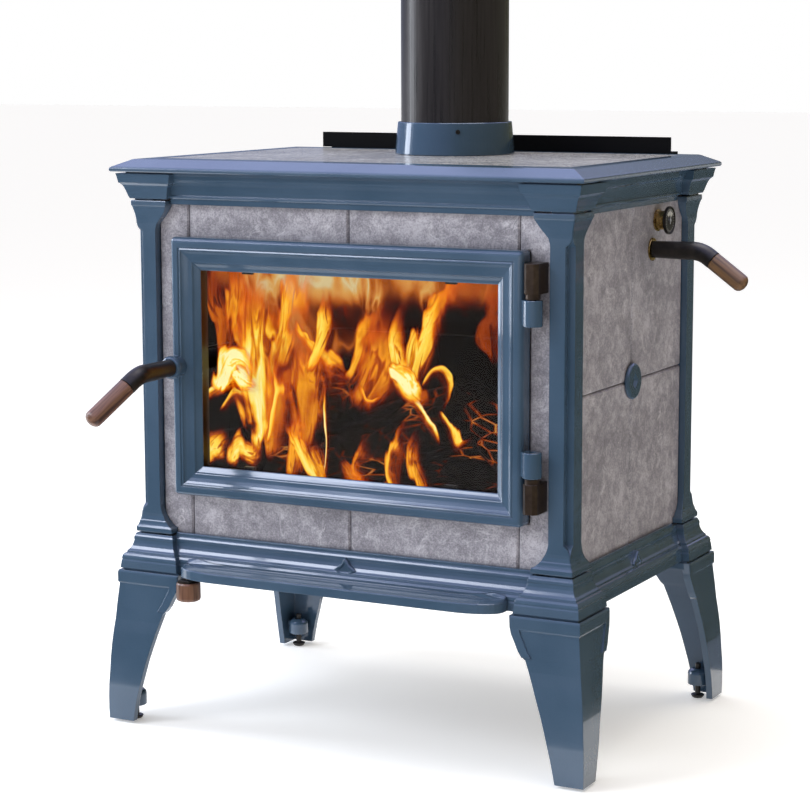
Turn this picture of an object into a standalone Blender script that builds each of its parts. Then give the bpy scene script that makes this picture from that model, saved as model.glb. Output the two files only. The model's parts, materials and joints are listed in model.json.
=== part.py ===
"""Wood burning stove: soapstone panels in a cast iron frame on four legs.

Every separate piece of the stove is one named object.  Sizes are in
millimetres and are turned into metres when a mesh is made.  X points right,
-Y is the front and +Z is up.
"""

import math

import bmesh
import bpy
from mathutils import Matrix, Vector

MM = 0.001

# ---------------------------------------------------------------- body sizes
HALF_X = 324.5          # post faces, left and right
HALF_Y = 219.5          # post faces, front and rear
STONE_SET_X = 8.5       # how far the side stones sit behind the post faces
STONE_SET_Y = 11.5      # how far the front stones sit behind the post faces
STONE_T = 21.7          # stone thickness
POST_W = 30.5           # width of a post face, front and rear
POST_D = 35.5           # width of a post face, left and right
NOTCH = 9.6             # square rebate along the outer corner of a post
GAP = 0.3               # clearance left between neighbouring pieces
SEAM = 1.2              # open joint between two stones
STONE_EDGE = 2.4        # chamfer around the outer face of a stone

# ------------------------------------------------------------------- heights
LEG_TOP = 215.9
REVEAL = 2.4            # shadow gap between leg, base, post, cornice and top
BASE_H = 48.3
POST_H = 460.1
CORNICE_H = 34.5
TOP_LIP_H = 6.2         # upright edge of the top plate
TOP_BEVEL_H = 10.4      # sloping edge of the top plate
PAD = 3.0               # inset of the locating pad inside a shadow gap

BASE_Z = LEG_TOP + REVEAL
BASE_TOP = BASE_Z + BASE_H
POST_Z = BASE_TOP + REVEAL
POST_TOP = POST_Z + POST_H
CORNICE_Z = POST_TOP + REVEAL
CORNICE_TOP = CORNICE_Z + CORNICE_H
TOP_Z = CORNICE_TOP + REVEAL
TOP_LIP_Z = TOP_Z + TOP_LIP_H
TOP_FACE = TOP_LIP_Z + TOP_BEVEL_H

STONE_X = HALF_X - STONE_SET_X
STONE_Y = HALF_Y - STONE_SET_Y
IN_X = STONE_X - STONE_T        # inner face of the side stones
IN_Y = STONE_Y - STONE_T        # inner face of the front stones

# ---------------------------------------------------------- base and cornice
BLOCK_OUT = 5.8         # corner blocks stand this far outside the post faces
BLOCK_W = 59.0          # narrow width of a corner block
RAIL_SET = 9.8          # rails between the blocks are set back by this much
LIP_H = 4.0             # base rail laps up over the stones
CORNICE_LIP_H = 7.0     # cornice rail laps down over the stones

# (outward offset, height above the bottom) of the mouldings
BASE_PROFILE = ((16.6, 0.0), (15.4, 10.2), (14.6, 12.2), (15.0, 14.6), (14.2, 17.8),
                (12.2, 20.6), (9.8, 21.6), (9.4, 23.8), (7.0, 26.4), (4.6, 30.2),
                (3.0, 34.6), (2.2, 38.8), (2.6, 40.6), (2.2, 43.6), (1.0, 45.8),
                (0.0, 48.3))
CORNICE_PROFILE = ((0.0, 0.0), (1.6, 3.4), (2.8, 7.4), (4.2, 11.6), (5.6, 15.4),
                   (7.4, 18.6), (9.8, 21.0), (11.2, 22.0), (11.6, 24.6), (12.6, 30.0),
                   (13.8, 34.5))
RAIL_CORNICE_PROFILE = ((0.0, 0.0), (2.6, 0.6), (3.8, 2.4), (3.6, 4.4), (2.4, 5.4),
                        (3.0, 12.0), (4.6, 18.6), (7.4, 23.4), (9.4, 25.4),
                        (10.4, 26.2), (11.6, 29.2), (12.2, 34.5))

# ----------------------------------------------------------------- top plate
TOP_OVER = 25.8         # lip stands out past the post faces
TOP_BEVEL = 24.5        # width of the sloping edge
TOP_EDGE_X = 18.5       # opening for the top stones, in from the side post faces
TOP_EDGE_FRONT = 36.5   # opening, in from the front post faces
TOP_EDGE_BACK = 22.5    # opening, in from the rear post faces
TOP_LEDGE = 12.0        # width of the ledge under the top stones, along the front
LEDGE_ROOM = 1.3        # the ledge's rear edge, in front of the back panel's inner face
TOP_LEDGE_T = 4.0
TOP_STONE_T = 28.0      # full thickness inside the rebated edge
TOP_SEAM_X = -115.0     # joint between the two top stones
TOP_OPEN_X = HALF_X - TOP_EDGE_X
TOP_OPEN_FRONT = HALF_Y - TOP_EDGE_FRONT
TOP_OPEN_BACK = HALF_Y - TOP_EDGE_BACK

# ---------------------------------------------------------------------- legs
LEG_WALL = 9.0
LEG_BAND = 1.8          # raised border around the top of a leg
LEG_BAND_H = 17.0       # height of the border under the leg's top
LEG_BAND_W = 13.0       # width of the border along the curved edge
FLANGE_T = 9.0          # flange that the base stands on
FLANGE_CORNER = 40.0    # the flange is cut off across its inner corner
GLIDE_H = 4.0           # the glide holds the leg this far off the floor
GLIDE_R = 9.6           # domed head of the levelling bolt
BOLT_R = 4.0
BOLT_CLEAR = 0.4
BOLT_TOP = 52.0
LUG_R = 15.0            # round lug that holds the levelling bolt
LUG_LOW = 21.0
LUG_HIGH = 46.0
LUG_INSET = 27.0        # bolt centre, in from the leg's outer corner

# (share of leg height, outward flare, width of a face)
LEG_LEVELS = ((0.000, 13.8, 40.0), (0.070, 14.2, 43.0), (0.150, 14.2, 46.5),
              (0.230, 13.8, 50.5), (0.320, 12.6, 54.5), (0.410, 11.6, 59.0),
              (0.500, 10.2, 64.0), (0.590, 8.2, 68.5), (0.670, 6.0, 72.5),
              (0.735, 4.7, 76.5), (0.752, 4.5, 81.0), (0.790, 3.7, 86.0),
              (0.840, 2.6, 90.0), (0.890, 1.5, 94.5), (0.930, 0.8, 96.0),
              (1.000, 0.0, 96.2))

# ---------------------------------------------------------------------- door
DOOR_SEAM_IN = 77.5     # front column stones are this wide
DOOR_LAP = 15.5         # door laps over the column stones
DOOR_RISE = 58.5        # door bottom above the post bottom
DOOR_DROP = 47.1        # door top below the post top
DOOR_BACK = 1.5         # gasket gap between the stones and the door
DOOR_T = 24.0
DOOR_TOP_BAR = 1.12     # the top bar is wider than the others by this share
DOOR_CORNER = 6.0       # rounding of the door's outer corners
GLASS_T = 5.0
# (in from the door's outer edge, forward of the door's back plane)
DOOR_SECTION = ((0.0, 0.0), (0.0, 17.0), (0.6, 19.6), (2.0, 21.9), (4.2, 23.4), (6.6, 24.0),
                (12.4, 24.0), (13.2, 22.6), (13.8, 23.0), (15.2, 23.6), (16.6, 22.9),
                (17.2, 21.8), (20.0, 20.0), (25.0, 18.0), (29.2, 16.8), (30.2, 17.0),
                (31.2, 16.4), (32.6, 14.6), (36.0, 12.4), (39.4, 10.4), (40.4, 9.6),
                (40.4, 8.8), (34.6, 8.8), (34.6, 0.0))
SURROUND_T = 18.0
SURROUND_IN = 32.0      # surround bar width behind the door

HINGE_X = 14.5          # pin axis, right of the door's edge
HINGE_FWD = 0.5         # pin axis, behind the door's front plane
HINGE_R = 12.6
HINGE_BLOCK = 10.0      # half width of the square hinge block
HINGE_BLOCK_FRONT = 10.5
HINGE_BLOCK_CUT = 5.0   # its front corners are cut off by this much
WASHER_R = 9.5
WASHER_GAP = 0.8        # running gap between washer and knuckle
LEAF_INSET = 1.0        # the knuckle's leaf is this much shorter than the knuckle
HINGE_BLOCK_H = 38.5
KNUCKLE_H = 33.5
HINGE_SPLIT = 7.6       # gap between block and knuckle, where the pin shows
HINGE_TOP_DROP = 15.0   # top of the upper block below the door's top
HINGE_FOOT = 20.7       # bottom of the lower block above the door's bottom
PIN_R = 4.5
PIN_CLEAR = 0.3

# --------------------------------------------------------- handles and gauge
GRIP_R = 12.2
SHAFT_R = 12.4
BOSS_R = 16.0
BOSS_H = 15.0
SPINDLE_R = 5.0
HANDLE_RUN = 88.9       # straight part of the door handle, from the door's face
HANDLE_BEND = 44.8      # degrees
HANDLE_OUT = 30.6       # degrees, bend turned to the left of straight down
HANDLE_SHANK = 22.7     # metal past the bend
HANDLE_GRIP = 72.4
CAM_REACH = 21.0
CAM_HALF = 4.8          # half width of the cam, less than the spindle's radius
CAM_HEEL = 3.2          # cam behind the spindle's axis
CAM_T = 5.5
CAM_SLOT = 4.0          # room around the cam in the surround's slot

BYPASS_Y = 70.0
BYPASS_DROP = 66.0      # axis below the post top
BYPASS_RUN = 68.0
BYPASS_BEND = 36.0
BYPASS_SHANK = 20.0
BYPASS_GRIP = 57.0
BYPASS_SPINDLE_R = 6.0
FLAP_HALF = 100.0
FLAP_D = 86.0
FLAP_T = 4.0
FLAP_GAP = 1.0          # closed flap above the baffle
PORT_LAP = 10.0         # the flap laps the baffle's port by this much at each end
SHAFT_GAP = 3.4         # bypass shaft off the side stone, room for its escutcheon

GAUGE_Y = 88.0
GAUGE_DROP = 27.6       # centre below the post top
GAUGE_R = 19.0
GAUGE_STAND = 15.0
GAUGE_T = 4.5
GAUGE_HUB_R = 11.0
GAUGE_STEM_R = 3.2

# ---------------------------------------------------------------------- flue
FLUE_EDGE = 1.7         # room between the collar's spigot and the ledge behind it
PIPE_R = 76.2           # six inch pipe
PIPE_WALL = 1.5
PIPE_L = 304.8
COLLAR_H = 45.0
COLLAR_WALL = 4.6
COLLAR_TAPER = 3.6
COLLAR_SEAT = 15.0      # pipe stands this far above the collar's foot
PIPE_CLEAR = 0.4

# -------------------------------------------------------- shield, air, floor
SHIELD_HALF = 281.3
SHIELD_Y = 252.0
SHIELD_LIP_Y = 225.6
SHIELD_T = 1.6
SHIELD_RISE = 22.4
SHIELD_FOOT = 31.0      # shield's lower edge above the post bottom
STANDOFF_X = 200.0      # spacers that hold the shield off the back panel
STANDOFF_FOOT = 91.0    # lower spacers above the post bottom
STANDOFF_DROP = 90.1    # upper spacers below the post top
STANDOFF_R = 8.0
LIP_HALF = 243.0
LIP_OUT = 272.0
LIP_THICK = 13.0
LIP_END = 64.0          # length of the rounding at each end
LIP_CURVE = 28.0        # depth of that rounding
LIP_EAR = 7.0           # the lip rises against the base near its ends
KNOB_R = 16.8
KNOB_H = 25.5
KNOB_X = -230.0
KNOB_Y = -250.0
LEVER_W = 18.0
LEVER_T = 3.6
LEVER_DROP = 3.3        # lever below the base
LEVER_NOSE = 13.0       # lever in front of the knob's axis
STUD_R = 3.0            # the knob's stud through the lever
STUD_CLEAR = 0.4
SHUTTER_GAP = 0.6       # shutter plate under the hearth floor
SHUTTER_LAP = 8.0       # the shutter starts this far left of the air slot
AIR_FRONT = 150.0       # air slot in the hearth floor, in front of the centre
AIR_D = 32.0
AIR_TRAVEL = 100.0
FLOOR_T = 34.0
BAFFLE_DROP = 12.0      # baffle's top below the bypass axis
BAFFLE_T = 6.0
SMOKE_GAP = 70.0        # smoke passes between the baffle and the front stones

for old in list(bpy.data.objects):
    bpy.data.objects.remove(old, do_unlink=True)


# -------------------------------------------------------------------- colours
def make_material(name, color, metallic, roughness):
    """One Principled material with plain values."""
    material = bpy.data.materials.new(name)
    material.use_nodes = True
    shader = material.node_tree.nodes["Principled BSDF"]
    shader.inputs["Base Color"].default_value = (*color, 1.0)
    shader.inputs["Metallic"].default_value = metallic
    shader.inputs["Roughness"].default_value = roughness
    material.diffuse_color = (*color, 1.0)
    return material


COLORS = {
    "enamel": ((0.055, 0.105, 0.200), 0.0, 0.25),
    "soapstone": ((0.300, 0.290, 0.300), 0.0, 0.60),
    "soapstone_top": ((0.500, 0.490, 0.480), 0.0, 0.35),
    "black_iron": ((0.012, 0.011, 0.010), 0.6, 0.45),
    "black_steel": ((0.014, 0.013, 0.012), 0.8, 0.40),
    "flue_steel": ((0.020, 0.017, 0.016), 0.5, 0.35),
    "shield_steel": ((0.006, 0.005, 0.004), 0.3, 0.50),
    "zinc": ((0.550, 0.550, 0.540), 1.0, 0.35),
    "firebrick": ((0.230, 0.170, 0.120), 0.0, 0.90),
    "walnut": ((0.150, 0.060, 0.030), 0.0, 0.35),
    "glass": ((0.030, 0.030, 0.030), 0.0, 0.05),
}


# -------------------------------------------------------------- mesh builders
def mesh_from(rings, cap=True):
    """Closed body through a list of rings of equal length, in millimetres."""
    bm = bmesh.new()
    loops = [[bm.verts.new(point) for point in ring] for ring in rings]
    count = len(loops[0])
    for lower, upper in zip(loops, loops[1:]):
        for i in range(count):
            j = (i + 1) % count
            bm.faces.new((lower[i], lower[j], upper[j], upper[i]))
    if cap:
        bm.faces.new(list(reversed(loops[0])))
        bm.faces.new(loops[-1])
    else:
        for i in range(count):
            j = (i + 1) % count
            bm.faces.new((loops[-1][i], loops[-1][j], loops[0][j], loops[0][i]))
    bmesh.ops.recalc_face_normals(bm, faces=bm.faces)
    return bm


def prism(points, axis, low, high):
    """Straight body with the given outline, drawn across X, Y or Z."""
    def place(a, b, along):
        if axis == "X":
            return (along, a, b)
        if axis == "Y":
            return (a, along, b)
        return (a, b, along)
    return mesh_from([[place(a, b, along) for a, b in points] for along in (low, high)])


def block(x0, x1, y0, y1, z0, z1):
    """Box between two corners."""
    return prism(((x0, y0), (x1, y0), (x1, y1), (x0, y1)), "Z", z0, z1)


def turned(profile, axis, centre, segments=48, cap=True):
    """Body turned about an axis; profile holds (radius, place) pairs.

    Without caps the profile is a closed loop, which gives a ring.
    """
    rings = []
    for radius, along in profile:
        ring = []
        for i in range(segments):
            angle = 2.0 * math.pi * i / segments
            a = centre[0] + radius * math.cos(angle)
            b = centre[1] + radius * math.sin(angle)
            if axis == "X":
                ring.append((along, a, b))
            elif axis == "Y":
                ring.append((a, along, b))
            else:
                ring.append((a, b, along))
        rings.append(ring)
    return mesh_from(rings, cap)


def rod(points, radii, segments=32):
    """Round bar along a path, with one radius for each point."""
    rings = []
    points = [Vector(p) for p in points]
    side = None
    for i, point in enumerate(points):
        ahead = points[min(i + 1, len(points) - 1)] - points[max(i - 1, 0)]
        ahead.normalize()
        if side is None:
            side = ahead.orthogonal().normalized()
        side = (side - ahead * side.dot(ahead)).normalized()
        across = ahead.cross(side)
        rings.append([point + radii[i] * (math.cos(a) * side + math.sin(a) * across)
                      for a in (2.0 * math.pi * k / segments for k in range(segments))])
    return mesh_from(rings)


def combine(first, second, operation):
    """Join or cut two bodies and return the result."""
    objects = []
    for bm in (first, second):
        mesh = bpy.data.meshes.new("work")
        bm.to_mesh(mesh)
        bm.free()
        item = bpy.data.objects.new("work", mesh)
        bpy.context.scene.collection.objects.link(item)
        objects.append(item)
    modifier = objects[0].modifiers.new("combine", "BOOLEAN")
    modifier.operation = operation
    modifier.solver = "EXACT"
    modifier.object = objects[1]
    graph = bpy.context.evaluated_depsgraph_get()
    graph.update()
    result = bmesh.new()
    result.from_mesh(objects[0].evaluated_get(graph).to_mesh())
    for item in objects:
        bpy.data.objects.remove(item, do_unlink=True)
    bmesh.ops.remove_doubles(result, verts=result.verts, dist=0.002)
    bmesh.ops.dissolve_degenerate(result, edges=result.edges, dist=0.002)
    return result


def union(*bodies):
    """Join several bodies into one."""
    result = bodies[0]
    for body in bodies[1:]:
        result = combine(result, body, "UNION")
    return result


def cut(body, *tools):
    """Take several bodies away from one."""
    for tool in tools:
        body = combine(body, tool, "DIFFERENCE")
    return body


def mirrored(bm, flip_x, flip_y):
    """The same body on the other side of the stove."""
    scale = Matrix.Diagonal((-1.0 if flip_x else 1.0, -1.0 if flip_y else 1.0, 1.0, 1.0))
    bmesh.ops.transform(bm, matrix=scale, verts=bm.verts)
    if flip_x != flip_y:
        bmesh.ops.reverse_faces(bm, faces=bm.faces)
    return bm


ROOT = bpy.data.objects.new("stove", None)
bpy.context.scene.collection.objects.link(ROOT)
MATERIALS = {name: make_material(name, *values) for name, values in COLORS.items()}


def pivot(name, place, parent=None):
    """Empty on a joint axis, placed in millimetres."""
    empty = bpy.data.objects.new(name, None)
    bpy.context.scene.collection.objects.link(empty)
    empty.parent = parent or ROOT
    parent_place = Vector(parent["place_mm"]) if parent else Vector((0.0, 0.0, 0.0))
    empty.location = (Vector(place) - parent_place) * MM
    empty["place_mm"] = place
    return empty


def part(name, bm, material, parent=None, smooth_angle=None):
    """Finish one piece of the stove as a named object."""
    origin = Vector(parent["place_mm"]) if parent else Vector((0.0, 0.0, 0.0))
    bmesh.ops.translate(bm, vec=-origin, verts=bm.verts)
    bmesh.ops.scale(bm, vec=(MM, MM, MM), verts=bm.verts)
    bmesh.ops.recalc_face_normals(bm, faces=bm.faces)
    if smooth_angle is not None:
        for face in bm.faces:
            face.smooth = True
        for edge in bm.edges:
            sharp = len(edge.link_faces) == 2 and edge.calc_face_angle() > smooth_angle
            edge.smooth = not sharp
    mesh = bpy.data.meshes.new(name)
    bm.to_mesh(mesh)
    bm.free()
    mesh.materials.append(MATERIALS[material])
    item = bpy.data.objects.new(name, mesh)
    bpy.context.scene.collection.objects.link(item)
    item.parent = parent or ROOT
    return item


ROUND = math.radians(35.0)
CORNERS = (("front_left", True, False), ("front_right", False, False),
           ("rear_left", True, True), ("rear_right", False, True))


# ----------------------------------------------------------------------- legs
def leg_ring(flare, width, height):
    """L section of the front right leg at one height."""
    x = HALF_X + BLOCK_OUT + BASE_PROFILE[0][0] + flare
    y = HALF_Y + BLOCK_OUT + BASE_PROFILE[0][0] + flare
    return [(x - width, -y, height), (x, -y, height), (x, -y + width, height),
            (x - LEG_WALL, -y + width, height), (x - LEG_WALL, -y + LEG_WALL, height),
            (x - width, -y + LEG_WALL, height)]


BAND_FOOT = 0.75         # the border ends at the step in the leg's edge
LEG_X = HALF_X + BLOCK_OUT + BASE_PROFILE[0][0]
LEG_Y = HALF_Y + BLOCK_OUT + BASE_PROFILE[0][0]
LEG_W = LEG_LEVELS[-1][2]
BOLT_X = LEG_X + LEG_LEVELS[0][1] - LUG_INSET
BOLT_Y = LEG_Y + LEG_LEVELS[0][1] - LUG_INSET


def leg_at(share):
    """Flare and face width of a leg at one share of its height."""
    for (s0, f0, w0), (s1, f1, w1) in zip(LEG_LEVELS, LEG_LEVELS[1:]):
        if share <= s1:
            part_way = (share - s0) / (s1 - s0)
            return f0 + (f1 - f0) * part_way, w0 + (w1 - w0) * part_way
    return LEG_LEVELS[-1][1:]


def leg_edge_band(span):
    """Raised border down the curved edge of the front right leg's front face."""
    rings = []
    for share, flare, width in LEG_LEVELS:
        if share < BAND_FOOT:
            continue
        x, y = LEG_X + flare - width, -(LEG_Y + flare)
        z = GLIDE_H + share * span
        rings.append([(x, y - LEG_BAND, z), (x + LEG_BAND_W, y - LEG_BAND, z),
                      (x + LEG_BAND_W, y + 2.0, z), (x, y + 2.0, z)])
    return mesh_from(rings)


def leg_body():
    """Front right leg: two flared walls, raised border, top flange and bolt lug."""
    span = LEG_TOP - GLIDE_H
    walls = mesh_from([leg_ring(flare, width, GLIDE_H + share * span)
                       for share, flare, width in LEG_LEVELS])
    band_low = 1.0 - LEG_BAND_H / span
    flare, width = leg_at(band_low)
    lower, upper = LEG_BAND * 0.9, LEG_BAND
    band = mesh_from([leg_ring(flare + out, width + out, GLIDE_H + share * span)
                      for share, out in ((band_low - 0.008, 0.1), (band_low, lower),
                                         (band_low + 0.008, upper), (0.985, upper),
                                         (1.0, upper - 1.0))])
    edge = leg_edge_band(span)
    other_edge = leg_edge_band(span)
    for vertex in other_edge.verts:
        x, y, z = vertex.co
        vertex.co = (LEG_X - (y + LEG_Y), -LEG_Y + (LEG_X - x), z)
    inner = LEG_WALL - 2.0
    flange = prism(((LEG_X - LEG_W, -LEG_Y + inner), (LEG_X - inner, -LEG_Y + inner),
                    (LEG_X - inner, -LEG_Y + LEG_W),
                    (LEG_X - FLANGE_CORNER, -LEG_Y + LEG_W),
                    (LEG_X - LEG_W, -LEG_Y + FLANGE_CORNER)), "Z", LEG_TOP - FLANGE_T, LEG_TOP)
    short = FLANGE_CORNER - 10.0
    pad = prism(((LEG_X - LEG_W + PAD, -LEG_Y + PAD), (LEG_X - PAD, -LEG_Y + PAD),
                 (LEG_X - PAD, -LEG_Y + LEG_W - PAD), (LEG_X - short, -LEG_Y + LEG_W - PAD),
                 (LEG_X - LEG_W + PAD, -LEG_Y + short)), "Z", LEG_TOP - 4.0, BASE_Z - GAP)
    centre = (BOLT_X, -BOLT_Y)
    lug = turned([(LUG_R - 1.0, LUG_LOW), (LUG_R, LUG_LOW + 1.0)]
                 + [(LUG_R * math.cos(a), LUG_HIGH - LUG_R * 0.6 * (1.0 - math.sin(a)))
                    for a in (math.radians(d) for d in (0, 20, 40, 55))], "Z", centre, 32)
    web = block(BOLT_X, BOLT_X + LUG_R + 6.0, -BOLT_Y - LUG_R - 6.0, -BOLT_Y,
                LUG_LOW + 0.5, LUG_HIGH - LUG_R * 0.5)
    bore = turned(((BOLT_R + BOLT_CLEAR, 0.0), (BOLT_R + BOLT_CLEAR, LUG_HIGH + 10.0)), "Z",
                  centre, 32)
    return cut(union(walls, band, edge, other_edge, flange, pad, web, lug), bore)


def leveller_body():
    """Levelling bolt that stands on its domed head."""
    return turned(((4.5, 0.0), (6.8, 0.8), (8.4, 2.2), (GLIDE_R, 4.4), (GLIDE_R, 5.4),
                   (GLIDE_R - 1.0, 6.0), (BOLT_R, 6.4), (BOLT_R, BOLT_TOP - 1.0),
                   (BOLT_R - 1.0, BOLT_TOP)), "Z", (BOLT_X, -BOLT_Y), 32)


for corner, flip_x, flip_y in CORNERS:
    part("leg_" + corner, mirrored(leg_body(), flip_x, flip_y), "enamel")
    part("leveller_" + corner, mirrored(leveller_body(), flip_x, flip_y), "black_steel",
         smooth_angle=ROUND)


# -------------------------------------------------------- base and cornice
def moulded_end(profile, bottom, block_in_x, block_in_y):
    """Front base or cornice: two corner blocks joined by a set-back rail."""
    rings = []
    x_out, y_out = HALF_X + BLOCK_OUT, HALF_Y + BLOCK_OUT
    for d, h in profile:
        z = bottom + h
        xb, yb = block_in_x - d, block_in_y - d
        rings.append([(-x_out - d, -y_out - d, z), (-xb, -y_out - d, z),
                      (-xb, -y_out + RAIL_SET, z), (xb, -y_out + RAIL_SET, z),
                      (xb, -y_out - d, z), (x_out + d, -y_out - d, z),
                      (x_out + d, -yb, z), (IN_X + GAP, -yb, z),
                      (IN_X + GAP, -IN_Y, z), (-IN_X - GAP, -IN_Y, z),
                      (-IN_X - GAP, -yb, z), (-x_out - d, -yb, z)])
    return mesh_from(rings)


def rail_points(profile, outer, inner, bottom):
    """Rail section: moulded outer face, upright inner face."""
    points = [(-(outer + d), bottom + h) for d, h in profile]
    points += [(-inner, bottom + profile[-1][1]), (-inner, bottom)]
    return points


BLOCK_IN_X = HALF_X + BLOCK_OUT - BLOCK_W
BLOCK_IN_Y = HALF_Y + BLOCK_OUT - BLOCK_W
RAIL_X = HALF_X + BLOCK_OUT - RAIL_SET
RAIL_Y = HALF_Y + BLOCK_OUT - RAIL_SET
TUCK = 2.0              # rails and lips run this far into the corner blocks
FRONT_LAP_Y = STONE_Y + GAP


STAR_R = 16.5           # reach of the four pointed ornament on the base rails
STAR_WAIST = 0.62       # how far its sides curve in
STAR_MID = 27.0         # its centre above the base's foot
STAR_OUT = ((-4.0, 1.0), (7.6, 1.0), (9.4, 0.86), (9.4, 0.62), (8.2, 0.56))


def star(axis, face, outward):
    """Raised ornament with four points and hollow sides."""
    steps_in_side = 6
    rings = []
    for out, share in STAR_OUT:
        ring = []
        for quarter in range(4):
            for i in range(steps_in_side):
                t = i / steps_in_side
                angle = 0.5 * math.pi * (quarter + t)
                reach = STAR_R * share * (1.0 - (1.0 - STAR_WAIST) * math.sin(math.pi * t))
                a, b = reach * math.cos(angle), BASE_Z + STAR_MID + reach * math.sin(angle)
                along = face + outward * out
                ring.append((along, a, b) if axis == "X" else (a, along, b))
        rings.append(ring)
    return mesh_from(rings)


def base_front(with_ornament):
    """Base casting with its two corner blocks, drawn for the front."""
    body = moulded_end(BASE_PROFILE, BASE_Z, BLOCK_IN_X, BLOCK_IN_Y)
    span = BLOCK_IN_X - 1.0
    rail = prism(rail_points(BASE_PROFILE, RAIL_Y, IN_Y + 3.0, BASE_Z), "X", -span, span)
    lap = prism(((-RAIL_Y - 0.6, BASE_TOP - 6.0), (-RAIL_Y, BASE_TOP + LIP_H - 1.0),
                 (-RAIL_Y + 1.0, BASE_TOP + LIP_H), (-FRONT_LAP_Y, BASE_TOP + LIP_H),
                 (-FRONT_LAP_Y, BASE_TOP - 6.0)), "X", -span, span)
    body = union(body, rail, lap)
    if with_ornament:
        body = union(body, star("Y", -RAIL_Y, -1.0))
    return body


def cornice_front():
    """Cornice casting with its two corner blocks, drawn for the front."""
    body = moulded_end(CORNICE_PROFILE, CORNICE_Z, BLOCK_IN_X, BLOCK_IN_Y)
    span = BLOCK_IN_X - 1.0
    rail = prism(rail_points(RAIL_CORNICE_PROFILE, RAIL_Y, IN_Y + 3.0, CORNICE_Z),
                 "X", -span, span)
    lap = prism(((-RAIL_Y - 1.0, CORNICE_Z + 2.0), (-RAIL_Y, CORNICE_Z - CORNICE_LIP_H),
                 (-FRONT_LAP_Y, CORNICE_Z - CORNICE_LIP_H), (-FRONT_LAP_Y, CORNICE_Z + 2.0)),
                "X", -span, span)
    x_out = HALF_X + BLOCK_OUT + CORNICE_PROFILE[-1][0] - 10.0
    y_out = HALF_Y + BLOCK_OUT + CORNICE_PROFILE[-1][0] - 10.0
    pad = block(-x_out, x_out, -y_out, -IN_Y - 4.0, CORNICE_TOP - 2.0, TOP_Z - GAP)
    return union(body, rail, lap, pad)


def offset_at(profile, height):
    """Outward offset of a moulding at one height."""
    for (d0, h0), (d1, h1) in zip(profile, profile[1:]):
        if h0 <= height <= h1:
            return d0 + (d1 - d0) * (height - h0) / (h1 - h0)
    return profile[-1][0]


def side_rail(profile, block_profile, bottom, top_lap, low_lap):
    """Right-hand rail between the corner blocks, with its stone lap."""
    heights = sorted({h for _, h in profile} | {h for _, h in block_profile})
    rings = []
    for h in heights:
        d = offset_at(profile, h)
        y = BLOCK_IN_Y - offset_at(block_profile, h) - GAP
        z = bottom + h
        rings.append([(IN_X + GAP, -y, z), (RAIL_X + d, -y, z), (RAIL_X + d, y, z),
                      (IN_X + GAP, y, z)])
    body = mesh_from(rings)
    short = BLOCK_IN_Y - max(d for d, _ in block_profile) - 1.0
    lap_x = STONE_X + GAP
    if top_lap:
        top = bottom + profile[-1][1]
        body = union(body, block(lap_x, RAIL_X, -short, short, top - 3.0, top + top_lap))
    if low_lap:
        body = union(body, block(lap_x, RAIL_X, -short, short, bottom - low_lap,
                                 bottom + 3.0))
    return body


part("base_front", base_front(True), "enamel")
part("base_rear", mirrored(base_front(False), False, True), "enamel")
part("cornice_front", cornice_front(), "enamel")
part("cornice_rear", mirrored(cornice_front(), False, True), "enamel")
for side, flip_x in (("left", True), ("right", False)):
    rail = side_rail(BASE_PROFILE, BASE_PROFILE, BASE_Z, LIP_H, 0.0)
    part("base_" + side, mirrored(union(rail, star("X", RAIL_X, 1.0)), flip_x, False), "enamel")
    part("cornice_" + side,
         mirrored(side_rail(RAIL_CORNICE_PROFILE, CORNICE_PROFILE, CORNICE_Z, 0.0,
                            CORNICE_LIP_H), flip_x, False), "enamel")


# ---------------------------------------------------------------------- posts
def post_ring(d, spread, notch, z):
    """Section of the front right post; spread widens it over the stones."""
    x, y = HALF_X + d, HALF_Y + d
    x_in = HALF_X - POST_W - spread - 0.2
    y_in = HALF_Y - POST_D - spread - 0.2
    core_x, core_y = IN_X + GAP, HALF_Y - POST_D + GAP
    return [(x_in, -y, z), (x - notch, -y, z), (x - notch, -y + notch, z),
            (x, -y + notch, z), (x, -y_in, z), (STONE_X + GAP, -y_in, z),
            (STONE_X + GAP, -core_y, z), (core_x, -core_y, z),
            (core_x, -STONE_Y - GAP, z), (x_in, -STONE_Y - GAP, z)]


NICK = 0.6              # small rebate left where the corner is whole
POST_LEVELS = (
    (0.0, 5.2, 21.0, NICK), (1.2, 5.8, 21.6, NICK), (6.4, 5.8, 21.6, NICK),
    (7.6, 5.0, 20.6, NICK), (9.0, 4.0, 17.4, NICK), (12.0, 2.9, 13.6, NICK),
    (15.4, 2.2, 10.4, NICK), (16.6, 1.4, 9.0, NICK), (22.0, 0.4, 6.0, NICK),
    (26.4, 0.0, 3.4, NICK), (33.0, 0.0, 1.0, NICK + 3.0), (38.0, 0.0, 0.0, NOTCH))
CAPITAL_LEVELS = (
    (42.0, 0.0, 0.0, NOTCH), (37.0, 0.0, 0.6, NICK + 3.0), (31.0, 0.0, 2.6, NICK),
    (27.0, 0.2, 6.0, NICK), (22.0, 0.8, 10.4, NICK), (16.0, 2.0, 15.0, NICK),
    (11.0, 3.2, 18.0, NICK), (8.0, 4.2, 19.6, NICK), (6.4, 5.2, 20.2, NICK),
    (1.0, 5.2, 20.6, NICK), (0.0, 4.8, 20.4, NICK))


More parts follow.
